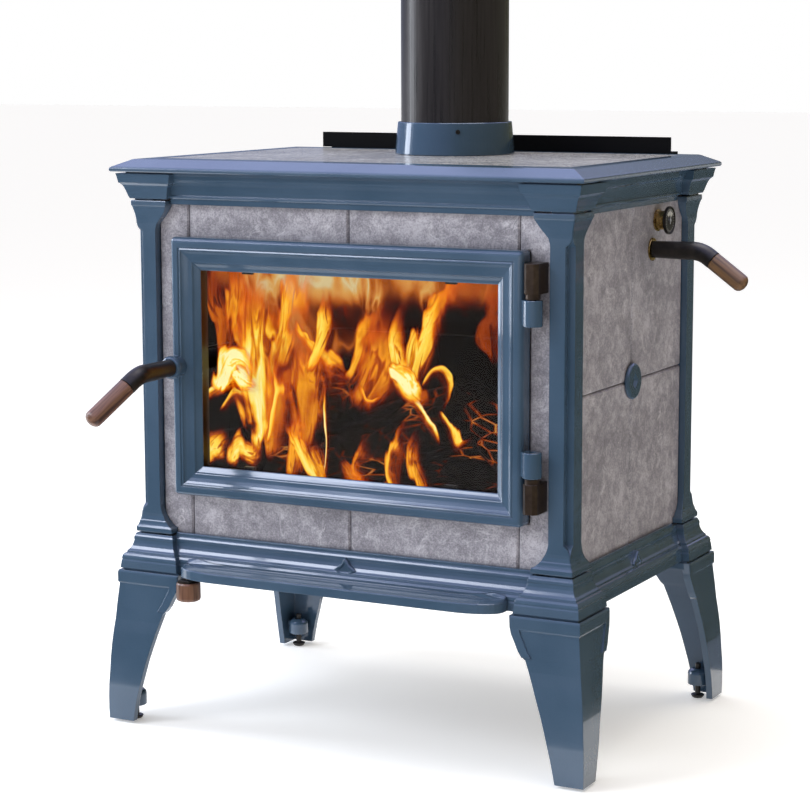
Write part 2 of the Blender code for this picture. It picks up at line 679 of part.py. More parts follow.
def post_body():
    """Front right post with its flared foot and capital."""
    rings = [post_ring(d, spread, notch, POST_Z + h)
             for h, d, spread, notch in POST_LEVELS]
    rings += [post_ring(d, spread, notch, POST_TOP - h)
              for h, d, spread, notch in CAPITAL_LEVELS]
    body = mesh_from(rings)
    x1, y1 = HALF_X + 1.0, HALF_Y + 1.0
    x0, y0 = IN_X + 2.0, HALF_Y - POST_D + 2.0
    foot = block(x0, x1, -y1, -y0, BASE_TOP + GAP, POST_Z + 2.0)
    head = block(x0, x1, -y1, -y0, POST_TOP - 2.0, CORNICE_Z - GAP)
    return union(body, foot, head)


for corner, flip_x, flip_y in CORNERS:
    part("post_" + corner, mirrored(post_body(), flip_x, flip_y), "enamel")

# ------------------------------------------------------------------ top plate
LIP_X, LIP_Y = HALF_X + TOP_OVER, HALF_Y + TOP_OVER
BEVEL_X, BEVEL_Y = LIP_X - TOP_BEVEL, LIP_Y - TOP_BEVEL
UNDER = 7.0             # the lip's underside is plain for this width


def plate_ring(x, front, rear, z):
    """Rectangle at one height, with its own front and rear reach."""
    return [(-x, -front, z), (x, -front, z), (x, rear, z), (-x, rear, z)]


LEDGE_TOP = TOP_Z + TOP_LEDGE_T
LEDGE_X = IN_X - GAP
LEDGE_FRONT = TOP_OPEN_FRONT - TOP_LEDGE
LEDGE_BACK = IN_Y - LEDGE_ROOM
part("top_frame", mesh_from([
    plate_ring(LIP_X - UNDER, LIP_Y - UNDER, LIP_Y - UNDER, TOP_Z),
    plate_ring(LIP_X - 1.5, LIP_Y - 1.5, LIP_Y - 1.5, TOP_Z),
    plate_ring(LIP_X, LIP_Y, LIP_Y, TOP_Z + 1.5),
    plate_ring(LIP_X, LIP_Y, LIP_Y, TOP_LIP_Z - 2.0),
    plate_ring(LIP_X - 0.8, LIP_Y - 0.8, LIP_Y - 0.8, TOP_LIP_Z - 0.6),
    plate_ring(LIP_X - 2.6, LIP_Y - 2.6, LIP_Y - 2.6, TOP_LIP_Z + 0.6),
    plate_ring(BEVEL_X + 1.6, BEVEL_Y + 1.6, BEVEL_Y + 1.6, TOP_FACE - 0.6),
    plate_ring(BEVEL_X - 1.0, BEVEL_Y - 1.0, BEVEL_Y - 1.0, TOP_FACE),
    plate_ring(TOP_OPEN_X, TOP_OPEN_FRONT, TOP_OPEN_BACK, TOP_FACE),
    plate_ring(TOP_OPEN_X, TOP_OPEN_FRONT, TOP_OPEN_BACK, LEDGE_TOP),
    plate_ring(LEDGE_X, LEDGE_FRONT, LEDGE_BACK, LEDGE_TOP),
    plate_ring(LEDGE_X, LEDGE_FRONT, LEDGE_BACK, TOP_Z)], cap=False), "enamel")


def top_stone(x0, x1, rebate_left, rebate_right):
    """Top slab with a rebated edge; it rests on the ledge of the plate."""
    face, low = TOP_FACE - 0.2, TOP_FACE - TOP_STONE_T
    y0, y1 = -TOP_OPEN_FRONT + GAP, TOP_OPEN_BACK - GAP
    edge = 1.0
    rings = [[(x0 + c, y0 + c, z), (x1 - c, y0 + c, z), (x1 - c, y1 - c, z),
              (x0 + c, y1 - c, z)] for c, z in ((0.0, LEDGE_TOP + GAP), (0.0, face - edge),
                                                (edge, face))]
    slab = mesh_from(rings)
    lower = block(x0 + rebate_left, x1 - rebate_right, GAP - LEDGE_FRONT, LEDGE_BACK - GAP,
                  low, LEDGE_TOP + 4.0)
    return union(slab, lower)


SIDE_REBATE = TOP_OPEN_X - LEDGE_X
part("top_stone_left",
     top_stone(-TOP_OPEN_X + GAP, TOP_SEAM_X - SEAM / 2.0, SIDE_REBATE, 0.0),
     "soapstone_top")
SPIGOT_R = PIPE_R - 0.6
FOOT_R = PIPE_R + PIPE_CLEAR + COLLAR_WALL + COLLAR_TAPER
FLUE_Y = LEDGE_BACK - FLUE_EDGE - SPIGOT_R
spigot_hole = turned(((SPIGOT_R + 0.8, TOP_FACE - 90.0), (SPIGOT_R + 0.8, TOP_FACE + 90.0)), "Z",
                     (0.0, FLUE_Y), 64)
part("top_stone_right",
     cut(top_stone(TOP_SEAM_X + SEAM / 2.0, TOP_OPEN_X - GAP, 0.0, SIDE_REBATE),
         spigot_hole), "soapstone_top")


# --------------------------------------------------------------------- stones
def stone_slab(outline, axis, outer, inner):
    """Panel stone with a chamfered outer face."""
    count = len(outline)
    step = STONE_EDGE if outer > inner else -STONE_EDGE

    def ring(inset, along):
        points = []
        for i in range(count):
            before, here, after = outline[i - 1], outline[i], outline[(i + 1) % count]
            a = Vector((here[0] - before[0], here[1] - before[1])).normalized()
            b = Vector((after[0] - here[0], after[1] - here[1])).normalized()
            na, nb = Vector((-a.y, a.x)), Vector((-b.y, b.x))
            move = (na + nb) / (1.0 + na.dot(nb))
            p = Vector(here) + move * inset
            points.append((along, p.x, p.y) if axis == "X" else (p.x, along, p.y))
        return points
    return mesh_from([ring(0.0, inner), ring(0.0, outer - step), ring(STONE_EDGE, outer)])


def rectangle(a0, a1, b0, b1):
    """Outline that runs anticlockwise."""
    return [(a0, b0), (a1, b0), (a1, b1), (a0, b1)]


STONE_LOW = BASE_TOP + GAP + 0.2
STONE_HIGH = CORNICE_Z - GAP
COLUMN_IN = HALF_X - DOOR_SEAM_IN
DOOR_HALF = COLUMN_IN + DOOR_LAP
DOOR_LOW = POST_Z + DOOR_RISE
DOOR_HIGH = POST_TOP - DOOR_DROP
SURROUND_X = DOOR_HALF - 1.2
SURROUND_LOW = DOOR_LOW + 2.8
SURROUND_HIGH = DOOR_HIGH - 2.8
BUTT = GAP + 0.1

column = [(-IN_X + BUTT, STONE_LOW), (-COLUMN_IN - SEAM / 2.0, STONE_LOW),
          (-COLUMN_IN - SEAM / 2.0, SURROUND_LOW - GAP),
          (-SURROUND_X - GAP, SURROUND_LOW - GAP),
          (-SURROUND_X - GAP, SURROUND_HIGH + GAP),
          (-COLUMN_IN - SEAM / 2.0, SURROUND_HIGH + GAP),
          (-COLUMN_IN - SEAM / 2.0, STONE_HIGH), (-IN_X + BUTT, STONE_HIGH)]
for side, flip_x in (("left", False), ("right", True)):
    part("stone_front_column_" + side,
         mirrored(stone_slab(column, "Y", -STONE_Y, -IN_Y), flip_x, False), "soapstone")
    for level, low, high in (("upper", SURROUND_HIGH + GAP, STONE_HIGH),
                             ("lower", STONE_LOW, SURROUND_LOW - GAP)):
        panel = stone_slab(rectangle(-COLUMN_IN + SEAM / 2.0, -SEAM / 2.0, low, high),
                           "Y", -STONE_Y, -IN_Y)
        part("stone_front_" + level + "_" + side, mirrored(panel, flip_x, False),
             "soapstone")

SIDE_END = HALF_Y - POST_D - BUTT
SIDE_MID = (STONE_LOW + STONE_HIGH) / 2.0 - 7.4
BYPASS_Z = POST_TOP - BYPASS_DROP
GAUGE_Z = POST_TOP - GAUGE_DROP
for side, flip_x in (("left", True), ("right", False)):
    for place, y0, y1 in (("front", -SIDE_END, -SEAM / 2.0), ("rear", SEAM / 2.0, SIDE_END)):
        for level, z0, z1 in (("upper", SIDE_MID + SEAM / 2.0, STONE_HIGH),
                              ("lower", STONE_LOW, SIDE_MID - SEAM / 2.0)):
            slab = stone_slab(rectangle(y0, y1, z0, z1), "X", STONE_X, IN_X)
            if (side, place, level) == ("right", "rear", "upper"):
                for radius, y, z in ((BYPASS_SPINDLE_R + 1.0, BYPASS_Y, BYPASS_Z),
                                     (GAUGE_STEM_R + 0.6, GAUGE_Y, GAUGE_Z)):
                    slab = cut(slab, turned(((radius, IN_X - 20.0), (radius, STONE_X + 20.0)),
                                            "X", (y, z), 32))
            part("stone_" + side + "_" + place + "_" + level,
                 mirrored(slab, flip_x, False), "soapstone")

MEDAL_R = 24.5
for side, flip_x in (("left", True), ("right", False)):
    disc = turned(((MEDAL_R - 1.0, STONE_X + GAP), (MEDAL_R, STONE_X + 1.4),
                   (MEDAL_R, STONE_X + 4.0), (MEDAL_R - 2.0, STONE_X + 6.0),
                   (MEDAL_R - 5.0, STONE_X + 6.2)), "X", (0.0, SIDE_MID), 48)
    dimple = mesh_from([[(x, r, SIDE_MID), (x, 0.0, SIDE_MID + r), (x, -r, SIDE_MID),
                         (x, 0.0, SIDE_MID - r)] for x, r in ((STONE_X + 3.0, 4.0),
                                                               (STONE_X + 6.8, 12.5))])
    part("medallion_" + side, mirrored(cut(disc, dimple), flip_x, False), "enamel",
         smooth_angle=ROUND)

# ----------------------------------------------------------------- front ring
SPINDLE_X = -(SURROUND_X - SPINDLE_R - GAP)
SPINDLE_Z = (DOOR_LOW + DOOR_HIGH) / 2.0
surround = cut(block(-SURROUND_X, SURROUND_X, -STONE_Y, -STONE_Y + SURROUND_T,
                     SURROUND_LOW, SURROUND_HIGH),
               block(-SURROUND_X + SURROUND_IN, SURROUND_X - SURROUND_IN,
                     -STONE_Y - 10.0, -STONE_Y + SURROUND_T + 10.0,
                     SURROUND_LOW + SURROUND_IN, SURROUND_HIGH - SURROUND_IN),
               block(-SURROUND_X - 5.0, SPINDLE_X + CAM_HALF + CAM_SLOT, -STONE_Y - 10.0,
                     -STONE_Y + SURROUND_T + 10.0, SPINDLE_Z - CAM_REACH - CAM_SLOT,
                     SPINDLE_Z + CAM_HALF + CAM_SLOT))
part("door_surround", surround, "black_iron")

# ----------------------------------------------------------------------- flue
RIM_R = PIPE_R + PIPE_CLEAR + COLLAR_WALL - 0.3
foot = TOP_FACE + GAP
part("flue_collar", turned((
    (FOOT_R, foot), (FOOT_R, foot + 1.5), (RIM_R, foot + COLLAR_H - 0.8),
    (RIM_R - 0.8, foot + COLLAR_H), (PIPE_R + PIPE_CLEAR, foot + COLLAR_H),
    (PIPE_R + PIPE_CLEAR, foot + COLLAR_SEAT - GAP),
    (PIPE_R - 5.0, foot + COLLAR_SEAT - GAP), (PIPE_R - 5.0, TOP_FACE - TOP_STONE_T),
    (SPIGOT_R, TOP_FACE - TOP_STONE_T), (SPIGOT_R, foot)), "Z", (0.0, FLUE_Y), 96, False),
    "enamel", smooth_angle=ROUND)
PIPE_LOW = foot + COLLAR_SEAT
PIPE_TOP = PIPE_LOW + PIPE_L
part("flue_pipe", turned((
    (PIPE_R, PIPE_LOW), (PIPE_R, PIPE_TOP), (PIPE_R - PIPE_WALL, PIPE_TOP),
    (PIPE_R - PIPE_WALL, PIPE_LOW)), "Z", (0.0, FLUE_Y), 96, False), "flue_steel",
    smooth_angle=ROUND)

# ------------------------------------------------------------ rear and inside
part("back_panel", block(-IN_X + BUTT, IN_X - BUTT, IN_Y, STONE_Y, STONE_LOW, STONE_HIGH),
     "black_iron")
bend_z = TOP_FACE + 0.6
SHIELD_LOW = POST_Z + SHIELD_FOOT
shield_points = ((SHIELD_Y, SHIELD_LOW), (SHIELD_Y, bend_z), (SHIELD_LIP_Y, bend_z),
                 (SHIELD_LIP_Y, bend_z + SHIELD_RISE),
                 (SHIELD_LIP_Y + SHIELD_T, bend_z + SHIELD_RISE),
                 (SHIELD_LIP_Y + SHIELD_T, bend_z + SHIELD_T),
                 (SHIELD_Y + SHIELD_T, bend_z + SHIELD_T), (SHIELD_Y + SHIELD_T, SHIELD_LOW))
shield = prism(shield_points, "X", -SHIELD_HALF, SHIELD_HALF)
for x in (-STANDOFF_X, STANDOFF_X):
    for z in (POST_Z + STANDOFF_FOOT, POST_TOP - STANDOFF_DROP):
        shield = union(shield, turned(((STANDOFF_R, STONE_Y + GAP),
                                       (STANDOFF_R, SHIELD_Y + SHIELD_T / 2.0)), "Y",
                                      (x, z), 24))
part("rear_shield", shield, "shield_steel")

FLOOR_TOP = BASE_TOP - 4.0
FLOOR_LOW = FLOOR_TOP - FLOOR_T
AIR_Y0, AIR_Y1 = -AIR_FRONT, AIR_D - AIR_FRONT
hearth = cut(block(-IN_X + BUTT, IN_X - BUTT, -IN_Y + BUTT, IN_Y - BUTT, FLOOR_LOW,
                   FLOOR_TOP),
             block(KNOB_X, KNOB_X + AIR_TRAVEL, AIR_Y0, AIR_Y1, FLOOR_LOW - 5.0,
                   FLOOR_TOP + 5.0))
part("hearth_floor", hearth, "firebrick")

BAFFLE_TOP = BYPASS_Z - BAFFLE_DROP
FLAP_REACH = BYPASS_Y + FLAP_D
baffle = cut(block(-IN_X + BUTT, IN_X - BUTT, -IN_Y + SMOKE_GAP, IN_Y - BUTT,
                   BAFFLE_TOP - BAFFLE_T, BAFFLE_TOP),
             block(-FLAP_HALF + PORT_LAP, FLAP_HALF - PORT_LAP, BYPASS_Y + 12.0,
                   FLAP_REACH - 8.0, BAFFLE_TOP - 20.0, BAFFLE_TOP + 20.0))
part("smoke_baffle", baffle, "black_iron")

# ------------------------------------------------------------------- ash lip
lip_low = BASE_Z + GAP
foot_y = HALF_Y + BLOCK_OUT + BASE_PROFILE[0][0] - RAIL_SET + GAP


def lip_outline():
    """Plan of the ash lip, half an ellipse at each end, and how near an end each point is."""
    steps = 10
    right_half = [(LIP_HALF - LIP_END * (1.0 - math.cos(a)),
                   -(LIP_OUT - LIP_CURVE * (1.0 - math.sin(a))), 0.0)
                  for a in (0.5 * math.pi * i / steps for i in range(steps + 1))]
    back = [(LIP_HALF - run, -foot_y, share)
            for run, share in ((150.0, 0.0), (60.0, 0.12), (34.0, 0.55), (16.0, 1.0), (0.0, 0.7))]
    half = back + right_half
    return half + [(-x, y, share) for x, y, share in reversed(half)]


def lip_level(rise, width, depth, ear):
    """The lip's outline at one level, drawn in towards the base."""
    return [(x * width, -foot_y + (y + foot_y) * depth, lip_low + rise + ear * share)
            for x, y, share in lip_outline()]


lip = mesh_from([lip_level(0.0, 1.0, 1.0, 0.0), lip_level(LIP_THICK - 1.0, 1.0, 1.0, 0.0),
                 lip_level(LIP_THICK, 0.996, 0.97, LIP_EAR * 0.4),
                 lip_level(LIP_THICK + 2.0, 0.992, 0.55, LIP_EAR * 0.8),
                 lip_level(LIP_THICK + 2.4, 0.985, 0.30, LIP_EAR)])
part("ash_lip", lip, "enamel")

# ---------------------------------------------------------------- air control
lever_top = BASE_Z - LEVER_DROP
lever_low = lever_top - LEVER_T
shutter_top = FLOOR_LOW - SHUTTER_GAP
riser_back = AIR_Y0 + SHUTTER_LAP
half = LEVER_W / 2.0
lever_pivot = pivot("air_control_slide", (KNOB_X, KNOB_Y, lever_low))
stud_hole = turned(((STUD_R + STUD_CLEAR, lever_low - 9.0), (STUD_R + STUD_CLEAR, lever_top + 9.0)),
                   "Z", (KNOB_X, KNOB_Y), 24)
lever = union(
    block(KNOB_X - half, KNOB_X + half, KNOB_Y - LEVER_NOSE, riser_back, lever_low, lever_top),
    block(KNOB_X - half, KNOB_X + half, riser_back - 6.0, riser_back, lever_low, shutter_top),
    block(KNOB_X - SHUTTER_LAP, KNOB_X + AIR_TRAVEL - SHUTTER_LAP, riser_back - 4.0,
          AIR_Y1 + 6.0, shutter_top - LEVER_T, shutter_top))
lever = cut(lever, stud_hole)
part("air_lever", lever, "black_iron", parent=lever_pivot)
knob_top = lever_low - GAP
knob = turned(((KNOB_R - 3.0, knob_top - KNOB_H), (KNOB_R - 0.8, knob_top - KNOB_H + 1.4),
               (KNOB_R, knob_top - KNOB_H + 4.0), (KNOB_R - 0.2, knob_top - 2.0),
               (KNOB_R - 1.4, knob_top), (STUD_R, knob_top + 0.01),
               (STUD_R, lever_top + 0.8)), "Z", (KNOB_X, KNOB_Y), 48)
part("air_knob", knob, "walnut", parent=lever_pivot, smooth_angle=ROUND)

# ----------------------------------------------------------------------- door
# The door's back and front planes, measured forward from the stove's centre.
BACK_Y = STONE_Y + DOOR_BACK
FRONT_Y = BACK_Y + DOOR_T
PIN_X = DOOR_HALF + HINGE_X
PIN_Y = -(FRONT_Y - HINGE_FWD)
door_pivot = pivot("door_hinge", (PIN_X, PIN_Y, SPINDLE_Z))


def door_ring(inset, forward):
    """Outline of the door frame at one place in its section, with rounded corners."""
    x, y = DOOR_HALF - inset, -(BACK_Y + forward)
    z_low, z_high = DOOR_LOW + inset, DOOR_HIGH - inset * DOOR_TOP_BAR
    radius = max(DOOR_CORNER - inset, 0.6)
    ring = []
    for cx, cz, first in ((x - radius, z_high - radius, 0.0), (radius - x, z_high - radius, 90.0),
                          (radius - x, z_low + radius, 180.0), (x - radius, z_low + radius, 270.0)):
        for step in (0.0, 30.0, 60.0, 90.0):
            angle = math.radians(first + step)
            ring.append((cx + radius * math.cos(angle), y, cz + radius * math.sin(angle)))
    return ring


block_top = DOOR_HIGH - HINGE_TOP_DROP
block_foot = DOOR_LOW + HINGE_FOOT
spans = {"upper": (block_top - HINGE_BLOCK_H, block_top),
         "lower": (block_foot, block_foot + HINGE_BLOCK_H)}
knuckles = {"upper": (spans["upper"][0] - HINGE_SPLIT - KNUCKLE_H,
                      spans["upper"][0] - HINGE_SPLIT),
            "lower": (spans["lower"][1] + HINGE_SPLIT,
                      spans["lower"][1] + HINGE_SPLIT + KNUCKLE_H)}
door = mesh_from([door_ring(inset, forward) for inset, forward in DOOR_SECTION], cap=False)
for low, high in knuckles.values():
    barrel = turned(((HINGE_R - 0.8, low), (HINGE_R, low + 0.8), (HINGE_R, high - 0.8),
                     (HINGE_R - 0.8, high)), "Z", (PIN_X, PIN_Y), 32)
    leaf = prism(((DOOR_HALF - 4.0, -BACK_Y - 6.0), (DOOR_HALF - 4.0, -FRONT_Y + 4.0),
                  (PIN_X - 2.0, PIN_Y - HINGE_R + 2.5), (PIN_X + 1.0, PIN_Y + HINGE_R - 3.0)),
                 "Z", low + LEAF_INSET, high - LEAF_INSET)
    bore = turned(((PIN_R + PIN_CLEAR, low - 10.0), (PIN_R + PIN_CLEAR, high + 10.0)), "Z",
                  (PIN_X, PIN_Y), 32)
    door = cut(union(door, leaf, barrel), bore)
boss = turned(((BOSS_R, -FRONT_Y + 3.0), (BOSS_R, -FRONT_Y - BOSS_H + 4.0),
               (BOSS_R - 1.5, -FRONT_Y - BOSS_H + 1.0), (BOSS_R - 3.0, -FRONT_Y - BOSS_H)),
              "Y", (SPINDLE_X, SPINDLE_Z), 48)
spindle_bore = turned(((SPINDLE_R + 0.5, -FRONT_Y - 60.0), (SPINDLE_R + 0.5, -BACK_Y + 40.0)),
                      "Y", (SPINDLE_X, SPINDLE_Z), 32)
part("door_frame", cut(union(door, boss), spindle_bore), "enamel", parent=door_pivot,
     smooth_angle=math.radians(28.0))

inset = DOOR_SECTION[-1][0] + GAP + 0.3
glass_y = -(BACK_Y + DOOR_SECTION[-2][1] - GAP)
part("door_glass", block(-DOOR_HALF + inset, DOOR_HALF - inset, glass_y, glass_y + GLASS_T,
                         DOOR_LOW + inset, DOOR_HIGH - inset * DOOR_TOP_BAR), "glass",
     parent=door_pivot)

for name, (low, high) in spans.items():
    side, front = HINGE_BLOCK, PIN_Y - HINGE_BLOCK_FRONT
    back = -STONE_Y - GAP
    body = prism(((PIN_X - side, back), (PIN_X - side, front + HINGE_BLOCK_CUT),
                  (PIN_X - side + HINGE_BLOCK_CUT, front),
                  (PIN_X + side - HINGE_BLOCK_CUT, front),
                  (PIN_X + side, front + HINGE_BLOCK_CUT), (PIN_X + side, back)), "Z", low, high)
    k_low, k_high = knuckles[name]
    if name == "upper":
        pin_low, pin_high = k_low + 2.0, low + 4.0
        washer = ((WASHER_R, k_high + WASHER_GAP), (WASHER_R, low + 1.0))
    else:
        pin_low, pin_high = high - 4.0, k_high - 2.0
        washer = ((WASHER_R, high - 1.0), (WASHER_R, k_low - WASHER_GAP))
    pin = turned(((PIN_R - 0.6, pin_low), (PIN_R, pin_low + 0.6), (PIN_R, pin_high - 0.6),
                  (PIN_R - 0.6, pin_high)), "Z", (PIN_X, PIN_Y), 32)
    ring = turned(washer, "Z", (PIN_X, PIN_Y), 32)
    part("hinge_" + name, union(body, ring, pin), "black_iron", smooth_angle=ROUND)

# ---------------------------------------------------------------- door handle
handle_pivot = pivot("door_latch", (SPINDLE_X, -FRONT_Y, SPINDLE_Z), parent=door_pivot)
bend, out = math.radians(HANDLE_BEND), math.radians(HANDLE_OUT)
heading = Vector((-math.sin(bend) * math.sin(out), -math.cos(bend),
                  -math.sin(bend) * math.cos(out)))


def bent_path(start, straight, heading_after, before, after, steps_in_bend=8):
    """Points along a rod that turns from one heading to another."""
    corner = start + straight * before
    tangent = 13.0
    first, last = corner - straight * tangent, corner + heading_after * tangent
    points = [start, first]
    for i in range(1, steps_in_bend):
        t = i / steps_in_bend
        points.append(first * (1 - t) ** 2 + corner * 2 * t * (1 - t) + last * t ** 2)
    return points + [last, corner + heading_after * after], corner


def grip_body(corner, heading_after, start, length):
    """Turned wooden grip with a rounded end."""
    dome = 9.0
    marks = [(start, GRIP_R - 1.0), (start + 1.0, GRIP_R), (start + length - dome, GRIP_R)]
    marks += [(start + length - dome + dome * math.sin(a), GRIP_R * math.cos(a))
              for a in (math.radians(d) for d in (20, 38, 54, 68, 80, 86))]
    return rod([corner + heading_after * s for s, _ in marks], [r for _, r in marks], 40)


straight = Vector((0.0, -1.0, 0.0))
start = Vector((SPINDLE_X, -FRONT_Y - BOSS_H - GAP, SPINDLE_Z))
path, corner = bent_path(start, straight, heading, HANDLE_RUN - BOSS_H - GAP, HANDLE_SHANK)
shaft = rod(path, [SHAFT_R - 1.0] + [SHAFT_R] * (len(path) - 1), 40)
spindle = turned(((SPINDLE_R, start.y - 6.0), (SPINDLE_R, -STONE_Y + SURROUND_T + 2.0)), "Y",
                 (SPINDLE_X, SPINDLE_Z), 32)
cam_y = -STONE_Y + SURROUND_T + 0.6
cam = prism(((SPINDLE_X - CAM_HEEL, SPINDLE_Z - CAM_HEEL), (SPINDLE_X, SPINDLE_Z - CAM_HALF),
             (SPINDLE_X + CAM_REACH, SPINDLE_Z - CAM_HALF),
             (SPINDLE_X + CAM_REACH, SPINDLE_Z + CAM_HALF), (SPINDLE_X, SPINDLE_Z + CAM_HALF),
             (SPINDLE_X - CAM_HEEL, SPINDLE_Z + CAM_HEEL)), "Y", cam_y, cam_y + CAM_T)
part("handle_shaft", union(shaft, spindle, cam), "black_iron", parent=handle_pivot,
     smooth_angle=ROUND)
part("handle_grip", grip_body(corner, heading, HANDLE_SHANK + GAP, HANDLE_GRIP), "walnut",
     parent=handle_pivot, smooth_angle=ROUND)

# --------------------------------------------------------------------- bypass
bypass_pivot = pivot("bypass_turn", (STONE_X, BYPASS_Y, BYPASS_Z))
bend = math.radians(BYPASS_BEND)
heading = Vector((math.cos(bend), 0.0, -math.sin(bend)))
start = Vector((STONE_X + SHAFT_GAP, BYPASS_Y, BYPASS_Z))
path, corner = bent_path(start, Vector((1.0, 0.0, 0.0)), heading, BYPASS_RUN, BYPASS_SHANK)
shaft = rod(path, [SHAFT_R - 1.0] + [SHAFT_R] * (len(path) - 1), 40)
spindle = turned(((BYPASS_SPINDLE_R, -FLAP_HALF), (BYPASS_SPINDLE_R, start.x + 6.0)), "X",
                 (BYPASS_Y, BYPASS_Z), 32)
flap_low = BAFFLE_TOP + FLAP_GAP
flap = block(-FLAP_HALF, FLAP_HALF, BYPASS_Y, FLAP_REACH, flap_low, flap_low + FLAP_T)
web = block(-FLAP_HALF, FLAP_HALF, BYPASS_Y, BYPASS_Y + FLAP_T, flap_low, BYPASS_Z)
part("bypass_shaft", union(shaft, spindle, flap, web), "black_iron", parent=bypass_pivot,
     smooth_angle=ROUND)
part("bypass_grip", grip_body(corner, heading, BYPASS_SHANK + GAP, BYPASS_GRIP), "walnut",
     parent=bypass_pivot, smooth_angle=ROUND)

# ---------------------------------------------------------------------- gauge
dial_x = STONE_X + GAUGE_STAND
part("gauge_dial", turned((
    (GAUGE_STEM_R - 0.8, IN_X - 30.0), (GAUGE_STEM_R, IN_X - 29.0),
    (GAUGE_STEM_R, STONE_X + GAP), (GAUGE_HUB_R, STONE_X + GAP + 0.01),
    (GAUGE_HUB_R, dial_x), (GAUGE_R - 0.8, dial_x + 0.01), (GAUGE_R, dial_x + 0.8),
    (GAUGE_R, dial_x + GAUGE_T), (GAUGE_R - 1.4, dial_x + GAUGE_T),
    (GAUGE_R - 1.8, dial_x + GAUGE_T - 1.2)), "X", (GAUGE_Y, GAUGE_Z), 48),
    "black_iron", smooth_angle=ROUND)
pointer_pivot = pivot("gauge_pointer_turn", (dial_x + GAUGE_T, GAUGE_Y, GAUGE_Z))
needle = prism(((GAUGE_Y - 1.4, GAUGE_Z - 5.0), (GAUGE_Y + 1.4, GAUGE_Z - 5.0),
                (GAUGE_Y + 0.5, GAUGE_Z + 13.5), (GAUGE_Y - 0.5, GAUGE_Z + 13.5)), "X",
               dial_x + GAUGE_T - 0.7, dial_x + GAUGE_T - 0.1)
hub = turned(((2.4, dial_x + GAUGE_T - 0.9), (2.4, dial_x + GAUGE_T + 0.3)), "X",
             (GAUGE_Y, GAUGE_Z), 24)
part("gauge_pointer", union(needle, hub), "zinc", parent=pointer_pivot)

# ------------------------------------------------- origin: bottom face centre
bpy.context.view_layer.update()
low = Vector((1e9, 1e9, 1e9))
high = -low
for item in bpy.data.objects:
    if item.type == "MESH":
        for vertex in item.data.vertices:
            place = item.matrix_world @ vertex.co
            low = Vector(map(min, low, place))
            high = Vector(map(max, high, place))
ROOT.location = (-(low.x + high.x) / 2.0, -(low.y + high.y) / 2.0, -low.z)
bpy.context.view_layer.update()
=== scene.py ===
import json
import math
import random

import bmesh
import bpy
from mathutils import Matrix, Vector


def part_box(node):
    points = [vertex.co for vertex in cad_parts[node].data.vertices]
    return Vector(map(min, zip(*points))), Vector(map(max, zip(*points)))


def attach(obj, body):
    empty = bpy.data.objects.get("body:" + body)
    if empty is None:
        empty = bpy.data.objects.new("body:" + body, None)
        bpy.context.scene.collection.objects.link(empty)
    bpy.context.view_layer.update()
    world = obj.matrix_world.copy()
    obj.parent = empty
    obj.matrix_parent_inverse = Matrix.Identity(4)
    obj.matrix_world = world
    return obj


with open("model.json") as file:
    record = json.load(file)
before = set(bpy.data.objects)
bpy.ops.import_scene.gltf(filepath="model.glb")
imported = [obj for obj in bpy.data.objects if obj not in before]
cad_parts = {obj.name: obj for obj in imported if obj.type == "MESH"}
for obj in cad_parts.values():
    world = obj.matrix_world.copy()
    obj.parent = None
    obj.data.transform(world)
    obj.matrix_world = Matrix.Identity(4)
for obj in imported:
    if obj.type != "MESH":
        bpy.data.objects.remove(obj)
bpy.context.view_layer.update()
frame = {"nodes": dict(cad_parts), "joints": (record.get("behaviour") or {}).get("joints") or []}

# ---------------------------------------------------------------- studio
# The stove stands on a plain pale floor.  A long lens looks at its front right corner from
# chest height.  The light is a broad surround, darker and warmer on the stove's right, with
# one softbox at the front left, one over the top and a tall strip at the left.  The camera
# sees the surround as plain white, and mirrors see a dimmer one.

AZIMUTH, ELEVATION, ROLL = math.radians(27.4512), math.radians(8.6189), math.radians(-0.1457)
LENS = 104.746
EYE = Vector((1.44391, -2.84667, 0.93354))

forward = Vector((-math.sin(AZIMUTH) * math.cos(ELEVATION),
                  math.cos(AZIMUTH) * math.cos(ELEVATION), -math.sin(ELEVATION)))
level = Vector((math.cos(AZIMUTH), math.sin(AZIMUTH), 0.0))
upright = level.cross(forward)
right = math.cos(ROLL) * level + math.sin(ROLL) * upright
up = math.cos(ROLL) * upright - math.sin(ROLL) * level
turn = Matrix((right, up, -forward)).transposed().to_4x4()

camera_data = bpy.data.cameras.new("camera")
camera_data.lens = LENS
camera = bpy.data.objects.new("camera", camera_data)
camera.matrix_world = Matrix.Translation(EYE) @ turn
bpy.context.scene.collection.objects.link(camera)
bpy.context.scene.camera = camera
bpy.context.scene.view_settings.view_transform = "Standard"


class Term:
    """A value inside a finish; arithmetic on it adds Math nodes to that finish."""

    def __init__(self, finish, socket):
        self.finish = finish
        self.socket = socket

    def maths(self, operation, *values):
        return self.finish.node("ShaderNodeMath", {"operation": operation},
                                dict(enumerate(values)))

    def __add__(self, other):
        return self.maths("ADD", self, other)

    def __radd__(self, other):
        return self.maths("ADD", other, self)

    def __sub__(self, other):
        return self.maths("SUBTRACT", self, other)

    def __rsub__(self, other):
        return self.maths("SUBTRACT", other, self)

    def __mul__(self, other):
        return self.maths("MULTIPLY", self, other)

    def __rmul__(self, other):
        return self.maths("MULTIPLY", other, self)

    def __truediv__(self, other):
        return self.maths("DIVIDE", self, other)

    def __rtruediv__(self, other):
        return self.maths("DIVIDE", other, self)

    def __pow__(self, other):
        return self.maths("POWER", self, other)

    def __abs__(self):
        return self.maths("ABSOLUTE", self)


